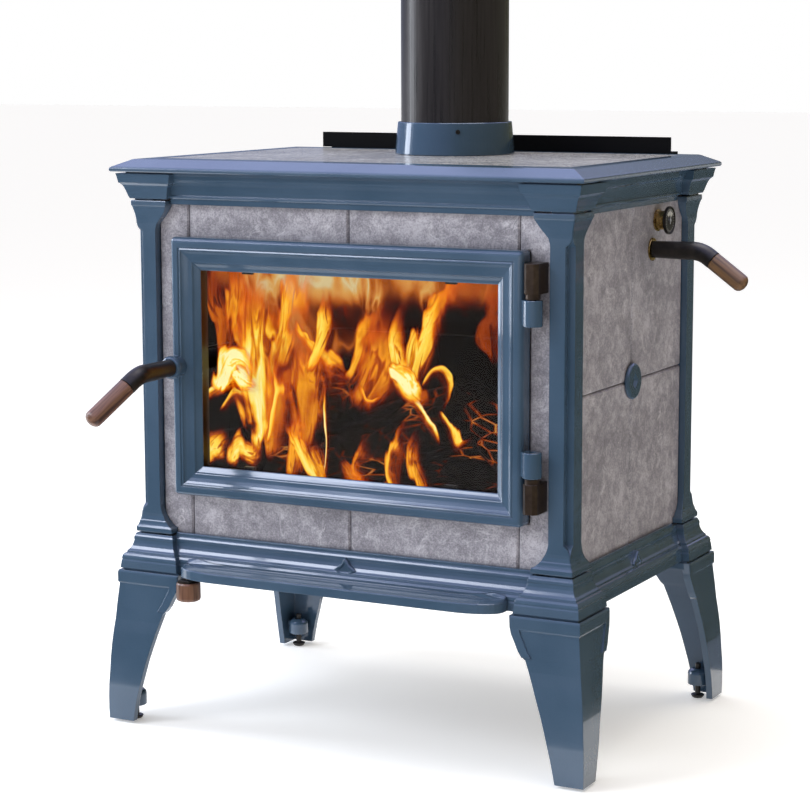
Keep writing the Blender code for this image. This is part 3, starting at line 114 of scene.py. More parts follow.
class Finish:
    """One material or world, built node by node."""

    def __init__(self, owner):
        owner.use_nodes = True
        self.owner = owner
        self.tree = owner.node_tree

    def node(self, kind, settings=None, inputs=None, output=0):
        """Add a node: its settings first, then the values or links of its sockets."""
        node = self.tree.nodes.new(kind)
        for key, value in (settings or {}).items():
            if key == "stops":
                ramp = node.color_ramp
                while len(ramp.elements) < len(value):
                    ramp.elements.new(1.0)
                for element, (place, color) in zip(ramp.elements, value):
                    element.position = place
                    element.color = (*color, 1.0)
            else:
                setattr(node, key, value)
        sockets = {socket.name: socket for socket in reversed(node.inputs)}
        sockets.update({socket.identifier: socket for socket in node.inputs})
        for key, value in (inputs or {}).items():
            self.put(node.inputs[key] if isinstance(key, int) else sockets[key], value)
        return Term(self, node.outputs[output])

    def put_out(self, term, output):
        """Another output of the node that a term comes from."""
        return Term(self, term.socket.node.outputs[output])

    def put(self, socket, value):
        """Link a term to a socket, or write a plain value in it."""
        if isinstance(value, Term):
            self.tree.links.new(value.socket, socket)
        elif isinstance(value, (tuple, list)) and len(value) == 3 and socket.type == "RGBA":
            socket.default_value = (*value, 1.0)
        else:
            socket.default_value = value

    def place(self):
        """Where the surface is, in metres."""
        return self.node("ShaderNodeTexCoord", output=3)

    def stretched(self, x, y, z):
        """The place with each direction scaled."""
        return self.node("ShaderNodeVectorMath", {"operation": "MULTIPLY"},
                         {0: self.place(), 1: (x, y, z)})

    def noise(self, vector, scale, detail=4.0, rough=0.5, warp=0.0, output=0):
        """Cloudy pattern from 0 to 1."""
        return self.node("ShaderNodeTexNoise", {},
                         {"Vector": vector, "Scale": scale, "Detail": detail,
                          "Roughness": rough, "Distortion": warp}, output)

    def ramp(self, factor, *stops):
        """Colour along a scale from 0 to 1."""
        return self.node("ShaderNodeValToRGB", {"stops": stops}, {"Fac": factor})

    def span(self, value, low, high, to_low=0.0, to_high=1.0):
        """Value from low to high, moved to another range with soft ends."""
        return self.node("ShaderNodeMapRange", {"interpolation_type": "SMOOTHSTEP"},
                         {"Value": value, "From Min": low, "From Max": high,
                          "To Min": to_low, "To Max": to_high})

    def blend(self, factor, first, second, how="MIX"):
        """Two colours mixed by a factor."""
        return self.node("ShaderNodeMix", {"data_type": "RGBA", "blend_type": how},
                         {"Factor_Float": factor, "A_Color": first, "B_Color": second}, 2)

    def bump(self, height, strength, depth, normal=None):
        """Normal of a surface with fine relief; depth is in metres."""
        inputs = {"Height": height, "Strength": strength, "Distance": depth}
        if normal is not None:
            inputs["Normal"] = normal
        return self.node("ShaderNodeBump", {}, inputs)

    def grain(self, axis, squeeze):
        """The place with its length along an axis shortened, for what runs along that axis."""
        along = self.node("ShaderNodeVectorMath", {"operation": "DOT_PRODUCT"},
                          {0: self.place(), 1: tuple(axis)}, 1)
        shift = self.node("ShaderNodeVectorMath", {"operation": "SCALE"},
                          {0: tuple(axis), "Scale": along * (1.0 - squeeze)})
        return self.node("ShaderNodeVectorMath", {"operation": "SUBTRACT"},
                         {0: self.place(), 1: shift})

    def ridge(self, value):
        """A cloudy value turned into thin lines that follow its middle level."""
        return 1.0 - abs(value - 0.5) * 2.0

    def shade(self, **values):
        """Write sockets of the finish's main shader; _ stands for a space."""
        shader = self.tree.nodes["Principled BSDF"]
        for key, value in values.items():
            self.put(shader.inputs[key.replace("_", " ")], value)


def new_finish(name):
    """An empty finish with one main shader."""
    return Finish(bpy.data.materials.new(name))


def speckled(name, noise, dark, pale, gloss, relief, stops=(0.3, 0.7), **values):
    """Finish in two tones of one noise, which also sets the relief and, from a pair, the gloss."""
    finish = new_finish(name)
    cloud = finish.noise(finish.place(), *noise)
    finish.shade(Base_Color=finish.ramp(cloud, (stops[0], dark), (stops[1], pale)),
                 Normal=finish.bump(cloud, *relief), **values)
    if isinstance(gloss, tuple):
        gloss = finish.span(cloud, 0.3, 0.7, *gloss)
    finish.shade(Roughness=gloss)
    return finish


surround = bpy.data.worlds.new("studio")
bpy.context.scene.world = surround
sky = Finish(surround)
heading = sky.node("ShaderNodeTexCoord")
parts = sky.node("ShaderNodeSeparateXYZ", {}, {"Vector": heading})
east = sky.put_out(parts, 0)
north = sky.put_out(parts, 1)
height = sky.put_out(parts, 2)
light = sky.blend(sky.span(east + north * 0.35, -0.42, 0.34), (1.16, 1.22, 1.34),
                  (0.22, 0.14, 0.03))
mirror = sky.blend(sky.span(east + north * 0.35, -0.45, 0.45), (0.20, 0.25, 0.42),
                   (0.12, 0.115, 0.045))
mirror = sky.blend(sky.span(height, 0.22, 0.62), mirror, (0.95, 1.00, 1.70))
rays = sky.node("ShaderNodeLightPath")
seen, glossy = sky.put_out(rays, 0), sky.put_out(rays, 3)
sky.put(sky.tree.nodes["Background"].inputs["Color"],
        sky.blend(seen, sky.blend(glossy, light, mirror), (1.0, 1.0, 1.0)))


def softbox(name, place, aim, size, watts, color):
    """Rectangular studio light that points at a place."""
    data = bpy.data.lights.new(name, "AREA")
    data.shape = "RECTANGLE"
    data.size, data.size_y = size
    data.energy = watts
    data.color = color
    lamp = bpy.data.objects.new(name, data)
    lamp.location = place
    lamp.rotation_euler = (Vector(aim) - Vector(place)).to_track_quat("-Z", "Y").to_euler()
    lamp.visible_camera = False
    bpy.context.scene.collection.objects.link(lamp)


softbox("key_light", (-2.4, -2.8, 3.0), (0.0, 0.0, 0.5), (1.4, 1.4), 55.0, (0.93, 0.96, 1.0))
softbox("top_light", (0.3, 0.4, 3.2), (0.0, 0.0, 0.0), (2.0, 2.0), 45.0, (1.0, 0.98, 0.94))
softbox("strip_light", (-3.2, -0.5, 1.3), (0.0, 0.0, 0.6), (0.9, 2.4), 52.0, (0.86, 0.92, 1.0))


def stage_card(name, corners, color, strength):
    """Flat studio card made of one face."""
    mesh = bpy.data.meshes.new(name)
    mesh.from_pydata(corners, [], [tuple(range(len(corners)))])
    card = bpy.data.objects.new(name, mesh)
    bpy.context.scene.collection.objects.link(card)
    paint = new_finish(name)
    paint.shade(Base_Color=color, Roughness=1.0, Specular_IOR_Level=0.0,
                Emission_Color=color, Emission_Strength=strength)
    mesh.materials.append(paint.owner)
    return card


def flat(x0, x1, y0, y1, z):
    """Corners of a level rectangle."""
    return [(x0, y0, z), (x1, y0, z), (x1, y1, z), (x0, y1, z)]


FLOOR_REACH = 30.0
stage_card("studio_floor", flat(-FLOOR_REACH, FLOOR_REACH, -FLOOR_REACH, FLOOR_REACH, 0.0),
           (0.94, 0.94, 0.94), 0.36)

# Cards that only mirrors see lie just over the floor: dark blue in front, a brighter band far
# off, olive at the right and pale blue behind.
CARD_Z, NEAR_EDGE, FAR_EDGE = 0.004, -4.6, -14.0
CARD_X, CARD_Y, CARD_REACH = 0.46, 0.45, 9.0      # clear of the stove, and how far they go
for name, corners, color in (
        ("front_card", flat(-CARD_REACH, CARD_X, NEAR_EDGE, -CARD_Y, CARD_Z),
         (0.030, 0.034, 0.045)),
        ("far_card", flat(-12.0, CARD_X, FAR_EDGE, NEAR_EDGE, CARD_Z), (0.20, 0.20, 0.22)),
        ("right_card", flat(CARD_X, CARD_REACH, -6.0, 12.0, CARD_Z), (0.060, 0.060, 0.022)),
        ("rear_card", flat(-CARD_REACH, CARD_X, CARD_Y, CARD_REACH, CARD_Z),
         (0.22, 0.24, 0.30))):
    card = stage_card(name, corners, (0.0, 0.0, 0.0), 0.0)
    glow = card.data.materials[0].node_tree.nodes["Principled BSDF"].inputs
    glow["Emission Color"].default_value = (*color, 1.0)
    glow["Emission Strength"].default_value = 1.0
    card.visible_camera = card.visible_diffuse = False
    card.visible_shadow = card.visible_transmission = False


def dress(finish, *names):
    """Give a finish to CAD nodes; a name that ends in * stands for all that start so."""
    for name in names:
        for node, item in frame["nodes"].items():
            if node == name or name.endswith("*") and node.startswith(name[:-1]):
                item.data.materials.clear()
                item.data.materials.append(finish.owner)


def new_piece(name, mesh, finish, body="root"):
    """Add a finished mesh as a visible piece that rides on a body."""
    if isinstance(mesh, bmesh.types.BMesh):
        data = bpy.data.meshes.new(name)
        mesh.to_mesh(data)
        mesh.free()
        mesh = data
    mesh.name = name
    mesh.materials.clear()
    mesh.materials.append(finish.owner)
    piece = bpy.data.objects.new(name, mesh)
    bpy.context.scene.collection.objects.link(piece)
    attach(piece, body)
    return piece


# ------------------------------------------------------- enamelled castings
# Legs, base, posts, cornice, top plate, door frame, collar, lip and medallions are grey iron
# castings under a thick fired coat of blue glass enamel.  The coat rounds every edge and
# leaves a faint ripple and fine pits.
EDGE_ROUND = 0.0017

enamel = new_finish("blue_enamel")
cloud = enamel.noise(enamel.place(), 9.0, 3.0)
pits = enamel.noise(enamel.place(), 1100.0, 2.0)
soft_edge = enamel.node("ShaderNodeBevel", {"samples": 4}, {"Radius": EDGE_ROUND})
ripple = enamel.noise(enamel.place(), 45.0, 2.0, 0.4)
orange_peel = enamel.noise(enamel.place(), 420.0, 2.0)
enamel.shade(
    Base_Color=enamel.blend(enamel.span(cloud * 0.75 + pits * 0.25, 0.3, 0.7),
                            (0.038, 0.073, 0.118), (0.058, 0.098, 0.152)),
    Roughness=enamel.span(pits, 0.3, 0.8, 0.13, 0.24), Specular_IOR_Level=0.62,
    Coat_Weight=0.55, Coat_Roughness=0.06,
    Specular_Tint=(0.80, 0.85, 1.0),
    Normal=enamel.bump(ripple * 0.75 + orange_peel * 0.18 + enamel.span(pits, 0.62, 0.8) * 0.05,
                       0.30, 0.0007, soft_edge))
dress(enamel, "leg_*", "post_*", "base_*", "cornice_*", "top_frame", "medallion_*",
      "flue_collar", "ash_lip", "door_frame")

# --------------------------------------------------------- soapstone panels
# Honed soapstone slabs, sawn and bevelled, stand in the iron frame.  The stone is grey with a
# violet cast, clouded, full of pale talc flecks and crossed by a few hairline veins.


def soapstone(name, dark, mid, pale, rough, vein_color):
    """Clouded stone with flecks and veins in three tones."""
    stone = new_finish(name)
    here = stone.place()
    cloud = stone.noise(here, 11.0, 5.0, 0.6)
    patch = stone.noise(here, 60.0, 6.0, 0.7, 0.6)
    fleck = stone.noise(here, 420.0, 3.0, 0.75)
    dust = stone.noise(here, 1300.0, 2.0, 0.6)
    tone = stone.span(cloud * 0.30 + patch * 0.34 + fleck * 0.36, 0.38, 0.62)
    color = stone.ramp(tone, (0.0, dark), (0.5, mid), (1.0, pale))
    color = stone.blend(stone.span(dust, 0.50, 0.72) * 0.40, color, pale)
    color = stone.blend(stone.span(dust, 0.46, 0.30) * 0.35, color, dark)
    vein = stone.ridge(stone.noise(here, 14.0, 5.0, 0.65, 1.2)) ** 60.0
    broken = stone.span(stone.noise(here, 30.0, 2.0), 0.48, 0.66)
    color = stone.blend(vein * broken * 0.8, color, vein_color)
    stone.shade(Base_Color=color,
                Roughness=stone.span(fleck, 0.3, 0.7, rough - 0.06, rough + 0.06),
                Specular_IOR_Level=0.35,
                Normal=stone.bump(patch * 0.35 + fleck * 0.5 + dust * 0.3 - vein * 0.2,
                                  0.5, 0.0005))
    return stone


honed_stone = soapstone("honed_soapstone", (0.172, 0.164, 0.190), (0.292, 0.280, 0.312),
                        (0.480, 0.462, 0.505), 0.52, (0.62, 0.60, 0.64))
dress(honed_stone, "stone_*")
polished_stone = soapstone("polished_soapstone", (0.24, 0.235, 0.235), (0.36, 0.352, 0.352),
                           (0.50, 0.49, 0.49), 0.20, (0.72, 0.70, 0.70))
dress(polished_stone, "top_stone_*")

# ------------------------------------------------------------- black ironwork
# Handle shafts, dial, surround, baffle, back panel, lever and levelling bolts are iron or
# steel with a satin black stove paint, a little brown in patches.  The hinge blocks are browner.
blacking = new_finish("black_stove_paint")
scuff = blacking.noise(blacking.place(), 70.0, 5.0, 0.6)
tooth = blacking.noise(blacking.place(), 900.0, 3.0)
black_edge = blacking.node("ShaderNodeBevel", {"samples": 4}, {"Radius": 0.0012})
blacking.shade(Base_Color=blacking.ramp(scuff, (0.35, (0.010, 0.009, 0.008)),
                                        (0.75, (0.034, 0.026, 0.020))),
               Roughness=blacking.span(scuff, 0.3, 0.7, 0.30, 0.44), Metallic=0.3,
               Normal=blacking.bump(tooth, 0.25, 0.0003, black_edge))
dress(blacking, "door_surround", "back_panel", "smoke_baffle", "air_lever",
      "handle_shaft", "bypass_shaft", "gauge_dial", "leveller_*")

hinge_iron = new_finish("hinge_iron")
wear = hinge_iron.noise(hinge_iron.place(), 90.0, 4.0, 0.6)
hinge_edge = hinge_iron.node("ShaderNodeBevel", {"samples": 4}, {"Radius": 0.0016})
hinge_iron.shade(Base_Color=hinge_iron.ramp(wear, (0.3, (0.040, 0.026, 0.018)),
                                            (0.7, (0.075, 0.050, 0.034))),
                 Roughness=0.30, Metallic=0.55,
                 Normal=hinge_iron.bump(wear, 0.2, 0.0004, hinge_edge))
dress(hinge_iron, "hinge_*")

# ----------------------------------------------------------- flue and shield
# The pipe is satin black rolled steel, faintly streaked along its length by the rollers.  The
# rear shield is folded sheet with dull black paint.
pipe_black = new_finish("pipe_black")
streak = pipe_black.noise(pipe_black.stretched(1.0, 1.0, 0.03), 210.0, 3.0, 0.6)
grit = pipe_black.noise(pipe_black.place(), 1500.0, 2.0)
pipe_black.shade(Base_Color=pipe_black.ramp(streak, (0.3, (0.016, 0.013, 0.012)),
                                            (0.7, (0.034, 0.028, 0.026))),
                 Roughness=pipe_black.span(streak, 0.3, 0.7, 0.26, 0.38), Metallic=0.35,
                 Normal=pipe_black.bump(streak * 0.3 + grit * 0.3, 0.2, 0.0003))
dress(pipe_black, "flue_pipe")

dress(speckled("shield_black", (800.0, 3.0), (0.0012, 0.001, 0.0008), (0.004, 0.0035, 0.003),
               (0.35, 0.48), (0.3, 0.0003), Specular_IOR_Level=0.12), "rear_shield")

# ------------------------------------------------------------- wooden grips
# Walnut grips and knob, turned with the grain along their length and oiled.


def walnut(name, axis, dark, pale):
    """Oiled wood whose grain runs along an axis."""
    wood = new_finish(name)
    along = wood.grain(axis, 0.06)
    ring = wood.noise(along, 95.0, 3.0, 0.5, 0.8)
    fibre = wood.noise(wood.grain(axis, 0.02), 900.0, 3.0, 0.7)
    lines = wood.ridge(wood.noise(along, 160.0, 2.0, 0.5, 0.5)) ** 3.0
    tone = wood.span(ring * 0.5 + lines * 0.25 + fibre * 0.25, 0.30, 0.70)
    wood.shade(Base_Color=wood.ramp(tone, (0.0, dark), (0.55, [(a + b) / 2 for a, b in
                                                              zip(dark, pale)]), (1.0, pale)),
               Roughness=wood.span(fibre, 0.3, 0.7, 0.30, 0.46), Coat_Weight=0.25,
               Coat_Roughness=0.2, Normal=wood.bump(fibre * 0.6 + lines * 0.4, 0.3, 0.0004))
    return wood


# Directions of the grain, along the two grips and up the knob.
HANDLE_ALONG = (-0.359, -0.710, -0.607)
BYPASS_ALONG = (0.809, 0.0, -0.588)
KNOB_ALONG = (0.0, 0.0, 1.0)
dress(walnut("handle_walnut", HANDLE_ALONG, (0.055, 0.022, 0.013), (0.215, 0.105, 0.062)),
      "handle_grip")
dress(walnut("bypass_walnut", BYPASS_ALONG, (0.050, 0.024, 0.010), (0.200, 0.105, 0.045)),
      "bypass_grip")
dress(walnut("knob_walnut", KNOB_ALONG, (0.050, 0.020, 0.011), (0.190, 0.085, 0.045)),
      "air_knob")

# ------------------------------------------------------------------- hearth
# The firebox floor is cast refractory, gritty and darkened by soot.
dress(speckled("refractory", (35.0, 6.0, 0.7), (0.010, 0.008, 0.006), (0.035, 0.028, 0.022),
               0.9, (0.6, 0.002)), "hearth_floor")


class Pattern(Finish):
    """A geometry tree with named sizes that ends in real faces and one material."""

    def __init__(self, name, **sizes):
        self.tree = bpy.data.node_groups.new(name, "GeometryNodeTree")
        sides = self.tree.interface
        sides.new_socket("Geometry", in_out="INPUT", socket_type="NodeSocketGeometry")
        sides.new_socket("Geometry", in_out="OUTPUT", socket_type="NodeSocketGeometry")
        self.sizes = {}
        for key, value in sizes.items():
            kind = "NodeSocketInt" if isinstance(value, int) else "NodeSocketFloat"
            socket = sides.new_socket(key, in_out="INPUT", socket_type=kind)
            self.sizes[key] = (socket.identifier, value)
        self.material = sides.new_socket("Material", in_out="INPUT",
                                         socket_type="NodeSocketMaterial").identifier
        self.entry = self.tree.nodes.new("NodeGroupInput")

    def given(self, key):
        """The tree's own input by name."""
        return Term(self, self.entry.outputs[key])

    def copies(self, points, item, turn=(0.0, 0.0, 0.0)):
        """Copies of an item on points."""
        return self.node("GeometryNodeInstanceOnPoints", {},
                         {"Points": points, "Instance": item, "Rotation": turn})

    def close(self, geometry):
        """End the tree with real faces and the material."""
        real = self.node("GeometryNodeRealizeInstances", {}, {"Geometry": geometry})
        painted = self.node("GeometryNodeSetMaterial", {},
                            {"Geometry": real, "Material": self.given("Material")})
        leave = self.tree.nodes.new("NodeGroupOutput")
        self.put(leave.inputs[0], painted)

    def grow(self, name, places, finish, slot, body="root", **sizes):
        """Run the tree on a few points and keep the result as a plain piece."""
        start = bpy.data.meshes.new(name + "_points")
        start.from_pydata([tuple(place) for place in places], [], [])
        worker = bpy.data.objects.new(name + "_worker", start)
        bpy.context.scene.collection.objects.link(worker)
        modifier = worker.modifiers.new("pattern", "NODES")
        modifier.node_group = self.tree
        for key, (identifier, value) in self.sizes.items():
            modifier[identifier] = sizes.get(key, value)
        modifier[self.material] = finish.owner
        graph = bpy.context.evaluated_depsgraph_get()
        graph.update()
        mesh = bpy.data.meshes.new_from_object(worker.evaluated_get(graph))
        worker.modifiers.remove(modifier)
        bpy.data.objects.remove(worker, do_unlink=True)
        bm = bmesh.new()
        bm.from_mesh(mesh)
        bmesh.ops.recalc_face_normals(bm, faces=bm.faces)
        bm.to_mesh(mesh)
        bm.free()
        return new_piece(name, mesh, finish, body)


# ------------------------------------------------------------ firebox lining
# Rows of thin refractory bricks stand against the inside of the stones, blackened by soot.
floor_low, floor_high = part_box("hearth_floor")
BRICK_T, BRICK_JOINT = 0.010, 0.003
ROOM, FLOOR_GAP, BAFFLE_GAP = 0.0015, 0.002, 0.004
DOOR_ROOM = 0.022        # from the front of the hearth floor to the side bricks
LINING_LOW = floor_high.z + FLOOR_GAP
LINING_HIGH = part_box("smoke_baffle")[0].z - BAFFLE_GAP

soot = speckled("sooted_brick", (28.0, 6.0, 0.65), (0.002, 0.0016, 0.0012),
                (0.008, 0.005, 0.003), 0.95, (0.7, 0.003), (0.35, 0.75),
                Specular_IOR_Level=0.1)

COURSES, BACK_BRICKS, SIDE_BRICKS = 3, 5, 3
wall = Pattern("brick_wall", Columns=4, Rows=COURSES, Wide=0.14, High=0.12, Thick=BRICK_T,
               Joint=BRICK_JOINT, Turn=0.0)
brick = wall.node("GeometryNodeMeshCube", {}, {"Size": wall.node(
    "ShaderNodeCombineXYZ", {}, {"X": wall.given("Wide") - wall.given("Joint"),
                                 "Y": wall.given("Thick"),
                                 "Z": wall.given("High") - wall.given("Joint")})})
course = wall.node("GeometryNodeMeshLine", {}, {"Count": wall.given("Columns"), "Offset": wall.node(
    "ShaderNodeCombineXYZ", {}, {"X": wall.given("Wide")})})
row = wall.copies(course, brick)
rise = wall.node("GeometryNodeMeshLine", {}, {"Count": wall.given("Rows"), "Offset": wall.node(
    "ShaderNodeCombineXYZ", {}, {"Z": wall.given("High")})})
courses = wall.copies(rise, row)
turned_wall = wall.copies(wall.given("Geometry"), courses, wall.node(
    "ShaderNodeCombineXYZ", {}, {"Z": wall.given("Turn")}))
wall.close(turned_wall)

brick_high = (LINING_HIGH - LINING_LOW) / COURSES
lining_x0, lining_x1 = floor_low.x + ROOM, floor_high.x - ROOM
lining_y0, lining_y1 = floor_low.y + DOOR_ROOM, floor_high.y - ROOM
back_wide = (lining_x1 - lining_x0) / BACK_BRICKS
wall.grow("back_lining", [(lining_x0 + back_wide / 2.0, lining_y1 - BRICK_T / 2.0,
                           LINING_LOW + brick_high / 2.0)], soot, "firebrick",
          Columns=BACK_BRICKS, Wide=back_wide, High=brick_high)
side_wide = (lining_y1 - BRICK_T - ROOM - lining_y0) / SIDE_BRICKS
for side, x in (("left", lining_x0 + BRICK_T / 2.0), ("right", lining_x1 - BRICK_T / 2.0)):
    wall.grow(side + "_lining", [(x, lining_y0 + side_wide / 2.0, LINING_LOW + brick_high / 2.0)],
              soot, "firebrick", Columns=SIDE_BRICKS, Wide=side_wide, High=brick_high,
              Turn=math.pi / 2.0)

# ------------------------------------------------------------ logs and embers
# Split logs burn on a bed of coals.  Their bark is charred to black plates, and cracks glow
# between the plates in patches.
char = new_finish("charred_wood")
plate = char.node("ShaderNodeTexVoronoi", {"feature": "DISTANCE_TO_EDGE"},
                  {"Vector": char.stretched(0.45, 1.0, 1.0), "Scale": 60.0})
crack = char.span(plate, 0.09, 0.0)
heat = char.span(char.noise(char.place(), 13.0, 4.0, 0.6), 0.47, 0.66)
char.shade(Base_Color=(0.006, 0.005, 0.004), Roughness=0.9, Specular_IOR_Level=0.15,
           Emission_Color=char.ramp(crack * heat, (0.0, (0.0, 0.0, 0.0)), (0.4, (0.35, 0.03, 0.0)),
                                    (0.8, (1.0, 0.25, 0.02)), (1.0, (1.0, 0.62, 0.14))),
           Emission_Strength=0.45,
           Normal=char.bump(char.span(plate, 0.0, 0.25), 0.9, 0.006))


SPLIT_AT, SPLIT_DEEP = 0.9, 0.72      # where a log's split face is, and its share of the radius


def log_mesh(start, end, radius, seed, around=28, along=40):
    """Rough log with a split face, a tapering butt and gnarled bark."""
    start, end = Vector(start), Vector(end)
    axis = (end - start).normalized()
    side = axis.cross(Vector((0.0, 0.0, 1.0))).normalized()
    crown = side.cross(axis)
    draw = random.Random(seed)
    waves = [(draw.uniform(-1.0, 1.0), draw.randint(2, 7), draw.uniform(2.0, 9.0),
              draw.uniform(0.0, 6.28)) for _ in range(9)]
    bm = bmesh.new()
    rings = []
    for k in range(along + 1):
        t = k / along
        end_taper = 1.0 - 0.16 * (abs(2.0 * t - 1.0) ** 6)
        ring = []
        for i in range(around):
            a = 2.0 * math.pi * i / around
            rough = sum(share * math.sin(turns * a + run * t + phase)
                        for share, turns, run, phase in waves) / 9.0
            r = radius * end_taper * (1.0 + 0.20 * rough)
            facing = math.cos(a - SPLIT_AT)
            if facing > SPLIT_DEEP:
                r *= SPLIT_DEEP / facing
            ring.append(bm.verts.new(start.lerp(end, t) + r * (math.cos(a) * side
                                                               + math.sin(a) * crown)))
        rings.append(ring)
    for lower, upper in zip(rings, rings[1:]):
        for i in range(around):
            j = (i + 1) % around
            bm.faces.new((lower[i], lower[j], upper[j], upper[i]))
    for ring in (rings[0], rings[-1]):
        middle = bm.verts.new(sum((v.co for v in ring), Vector()) / around)
        for i in range(around):
            bm.faces.new((ring[i], ring[(i + 1) % around], middle))
    bmesh.ops.recalc_face_normals(bm, faces=bm.faces)
    for face in bm.faces:
        face.smooth = True
    return bm


# Both ends and the radius of each log; the ends are measured from the front of the hearth.
LOGS = (((-0.250, 0.145, 0.150), (-0.090, 0.150, 0.185), 0.040),
        ((-0.100, 0.160, 0.110), (0.090, 0.150, 0.175), 0.046),
        ((0.225, 0.130, 0.090), (0.070, 0.170, 0.200), 0.042),
        ((-0.200, 0.260, 0.060), (0.210, 0.260, 0.062), 0.052),
        ((-0.225, 0.160, 0.058), (0.215, 0.150, 0.056), 0.052))
hearth_x, hearth_z = (floor_low.x + floor_high.x) / 2.0, floor_high.z
shift = Vector((hearth_x, floor_low.y, hearth_z))
for number, (start, end, radius) in enumerate(LOGS):
    new_piece("log_%d" % (number + 1),
              log_mesh(Vector(start) + shift, Vector(end) + shift, radius, number),
              char)

coal_bed = Pattern("coal_bed", Wide=0.50, Deep=0.27, Lift=0.016)
sheet_of = coal_bed.node("GeometryNodeMeshGrid", {}, {
    "Size X": coal_bed.given("Wide"), "Size Y": coal_bed.given("Deep"), "Vertices X": 70,
    "Vertices Y": 40})
lumps = coal_bed.node("ShaderNodeTexVoronoi", {"feature": "SMOOTH_F1"},
                      {"Scale": 38.0, "Smoothness": 0.25})
lump_lift = coal_bed.node("ShaderNodeCombineXYZ", {},
                          {"Z": coal_bed.given("Lift") * (1.2 - lumps)})
raised = coal_bed.node("GeometryNodeSetPosition", {}, {"Geometry": sheet_of, "Offset": lump_lift})
coal_bed.close(coal_bed.copies(coal_bed.given("Geometry"), raised))
coal_bed.grow("embers", [(hearth_x, (lining_y0 + lining_y1) / 2.0, hearth_z + ROOM)], char,
              "firebrick")

# ------------------------------------------------------------------- flames
# Gas burning off the logs stands in tall wavering tongues just behind the glass.  Each tongue
# is a thin curved ribbon: red and clear at its rim, yellow to nearly white where it is dense,
# and drawn out into fine threads along its length.
FLAME_Y = floor_low.y + 0.030
SPREAD = 0.0021          # ribbon width in metres for each unit in the list of flames


def flame_finish(name, power):
    """Glowing gas: colour and thickness come from the ribbon's own u, v and heat."""
    gas = new_finish(name)
    chart = gas.node("ShaderNodeUVMap", {"uv_map": "along"})
    split = gas.node("ShaderNodeSeparateXYZ", {}, {"Vector": chart})
    across, upward = gas.put_out(split, 0), gas.put_out(split, 1)
    burn = gas.node("ShaderNodeSeparateXYZ", {},
                    {"Vector": gas.node("ShaderNodeUVMap", {"uv_map": "burn"})})
    heat, edge = gas.put_out(burn, 0), gas.put_out(burn, 1)
    lick = gas.noise(gas.stretched(1.0, 1.0, 0.45), 30.0, 2.0, 0.5, 0.6)
    bent = across + (lick - 0.5) * 0.90
    threads = gas.node("ShaderNodeVectorMath", {"operation": "MULTIPLY_ADD"},
                       {0: chart, 1: (2.6, 1.1, 0.0), 2: gas.stretched(6.0, 6.0, 2.0)})
    strand = gas.noise(threads, 2.4, 3.0, 0.55, 1.2)
    thread = gas.ridge(strand) ** 4.0
    full = gas.span(bent, 0.12, 0.46) * gas.span(bent, 0.92, 0.48)
    rim = gas.span(bent, 0.16, 0.25) * gas.span(bent, 0.50, 0.25)
    ends = gas.span(upward, 0.0, 0.16) * gas.span(upward, 1.0, 0.55)
    body = full * (0.36 + gas.span(strand, 0.35, 0.70) * 0.34 + thread * 0.40)
    dense = (body * (1.0 - edge * 0.72) + rim * (0.20 + edge * 0.85)) * ends * (heat * 0.86)
    glow = gas.ramp(dense, (0.0, (0.16, 0.004, 0.0005)), (0.22, (0.42, 0.020, 0.001)),
                    (0.44, (0.80, 0.13, 0.003)), (0.64, (1.0, 0.42, 0.012)),
                    (0.84, (1.0, 0.74, 0.09)), (1.0, (1.0, 0.94, 0.46)))
    gas.shade(Base_Color=(0.0, 0.0, 0.0), Specular_IOR_Level=0.0, Roughness=1.0,
              Emission_Color=glow, Emission_Strength=power,
              Alpha=gas.span(dense, 0.0, 0.80) * 0.92)
    return gas


tongue_gas = flame_finish("flame_gas", 1.12)


def ribbon(points, widths, heat, edge, steps=64, across=10):
    """Flame tongue along given points; it lies across the stove, bulging a little forward."""
    knots = [Vector(point) for point in points]
    bm = bmesh.new()
    chart = bm.loops.layers.uv.new("along")
    burn = bm.loops.layers.uv.new("burn")
    spine, spans = [], []
    count = len(knots) - 1
    for k in range(steps + 1):
        t = count * k / steps
        i = min(int(t), count - 1)
        f = t - i
        a, b = knots[max(i - 1, 0)], knots[i]
        c, d = knots[i + 1], knots[min(i + 2, count)]
        spine.append(0.5 * (2 * b + (c - a) * f + (2 * a - 5 * b + 4 * c - d) * f * f
                            + (3 * b - a - 3 * c + d) * f * f * f))
        w = t / count * (len(widths) - 1)
        j = min(int(w), len(widths) - 2)
        spans.append(widths[j] + (widths[j + 1] - widths[j]) * (w - j))
    rows = []
    for k, place in enumerate(spine):
        ahead, behind = spine[min(k + 1, steps)], spine[max(k - 1, 0)]
        course = (ahead - behind).normalized()
        side = course.cross(Vector((0.0, -1.0, 0.0))).normalized()
        row = []
        for m in range(across + 1):
            u = m / across
            vertex = bm.verts.new(place + side * (u - 0.5) * spans[k]
                                  - Vector((0.0, 0.006, 0.0)) * math.sin(math.pi * u))
            row.append((vertex, u, k / steps))
        rows.append(row)
    for lower, upper in zip(rows, rows[1:]):
        for m in range(across):
            corners = (lower[m], lower[m + 1], upper[m + 1], upper[m])
            face = bm.faces.new([vertex for vertex, _, _ in corners])
            face.smooth = True
            for loop, (_, u, v) in zip(face.loops, corners):
                loop[chart].uv, loop[burn].uv = (u, v), (heat, edge)
    return bm


def tongue(number, depth, heat, edge, widths, *route):
    """One flame; its route gives distances right of the hearth's middle and heights, in mm."""
    points = [(hearth_x + x / 1000.0, FLAME_Y + depth / 1000.0, z / 1000.0) for x, z in route]
    new_piece("flame_%02d" % number, ribbon(points, [w * SPREAD for w in widths], heat, edge),
              tongue_gas)


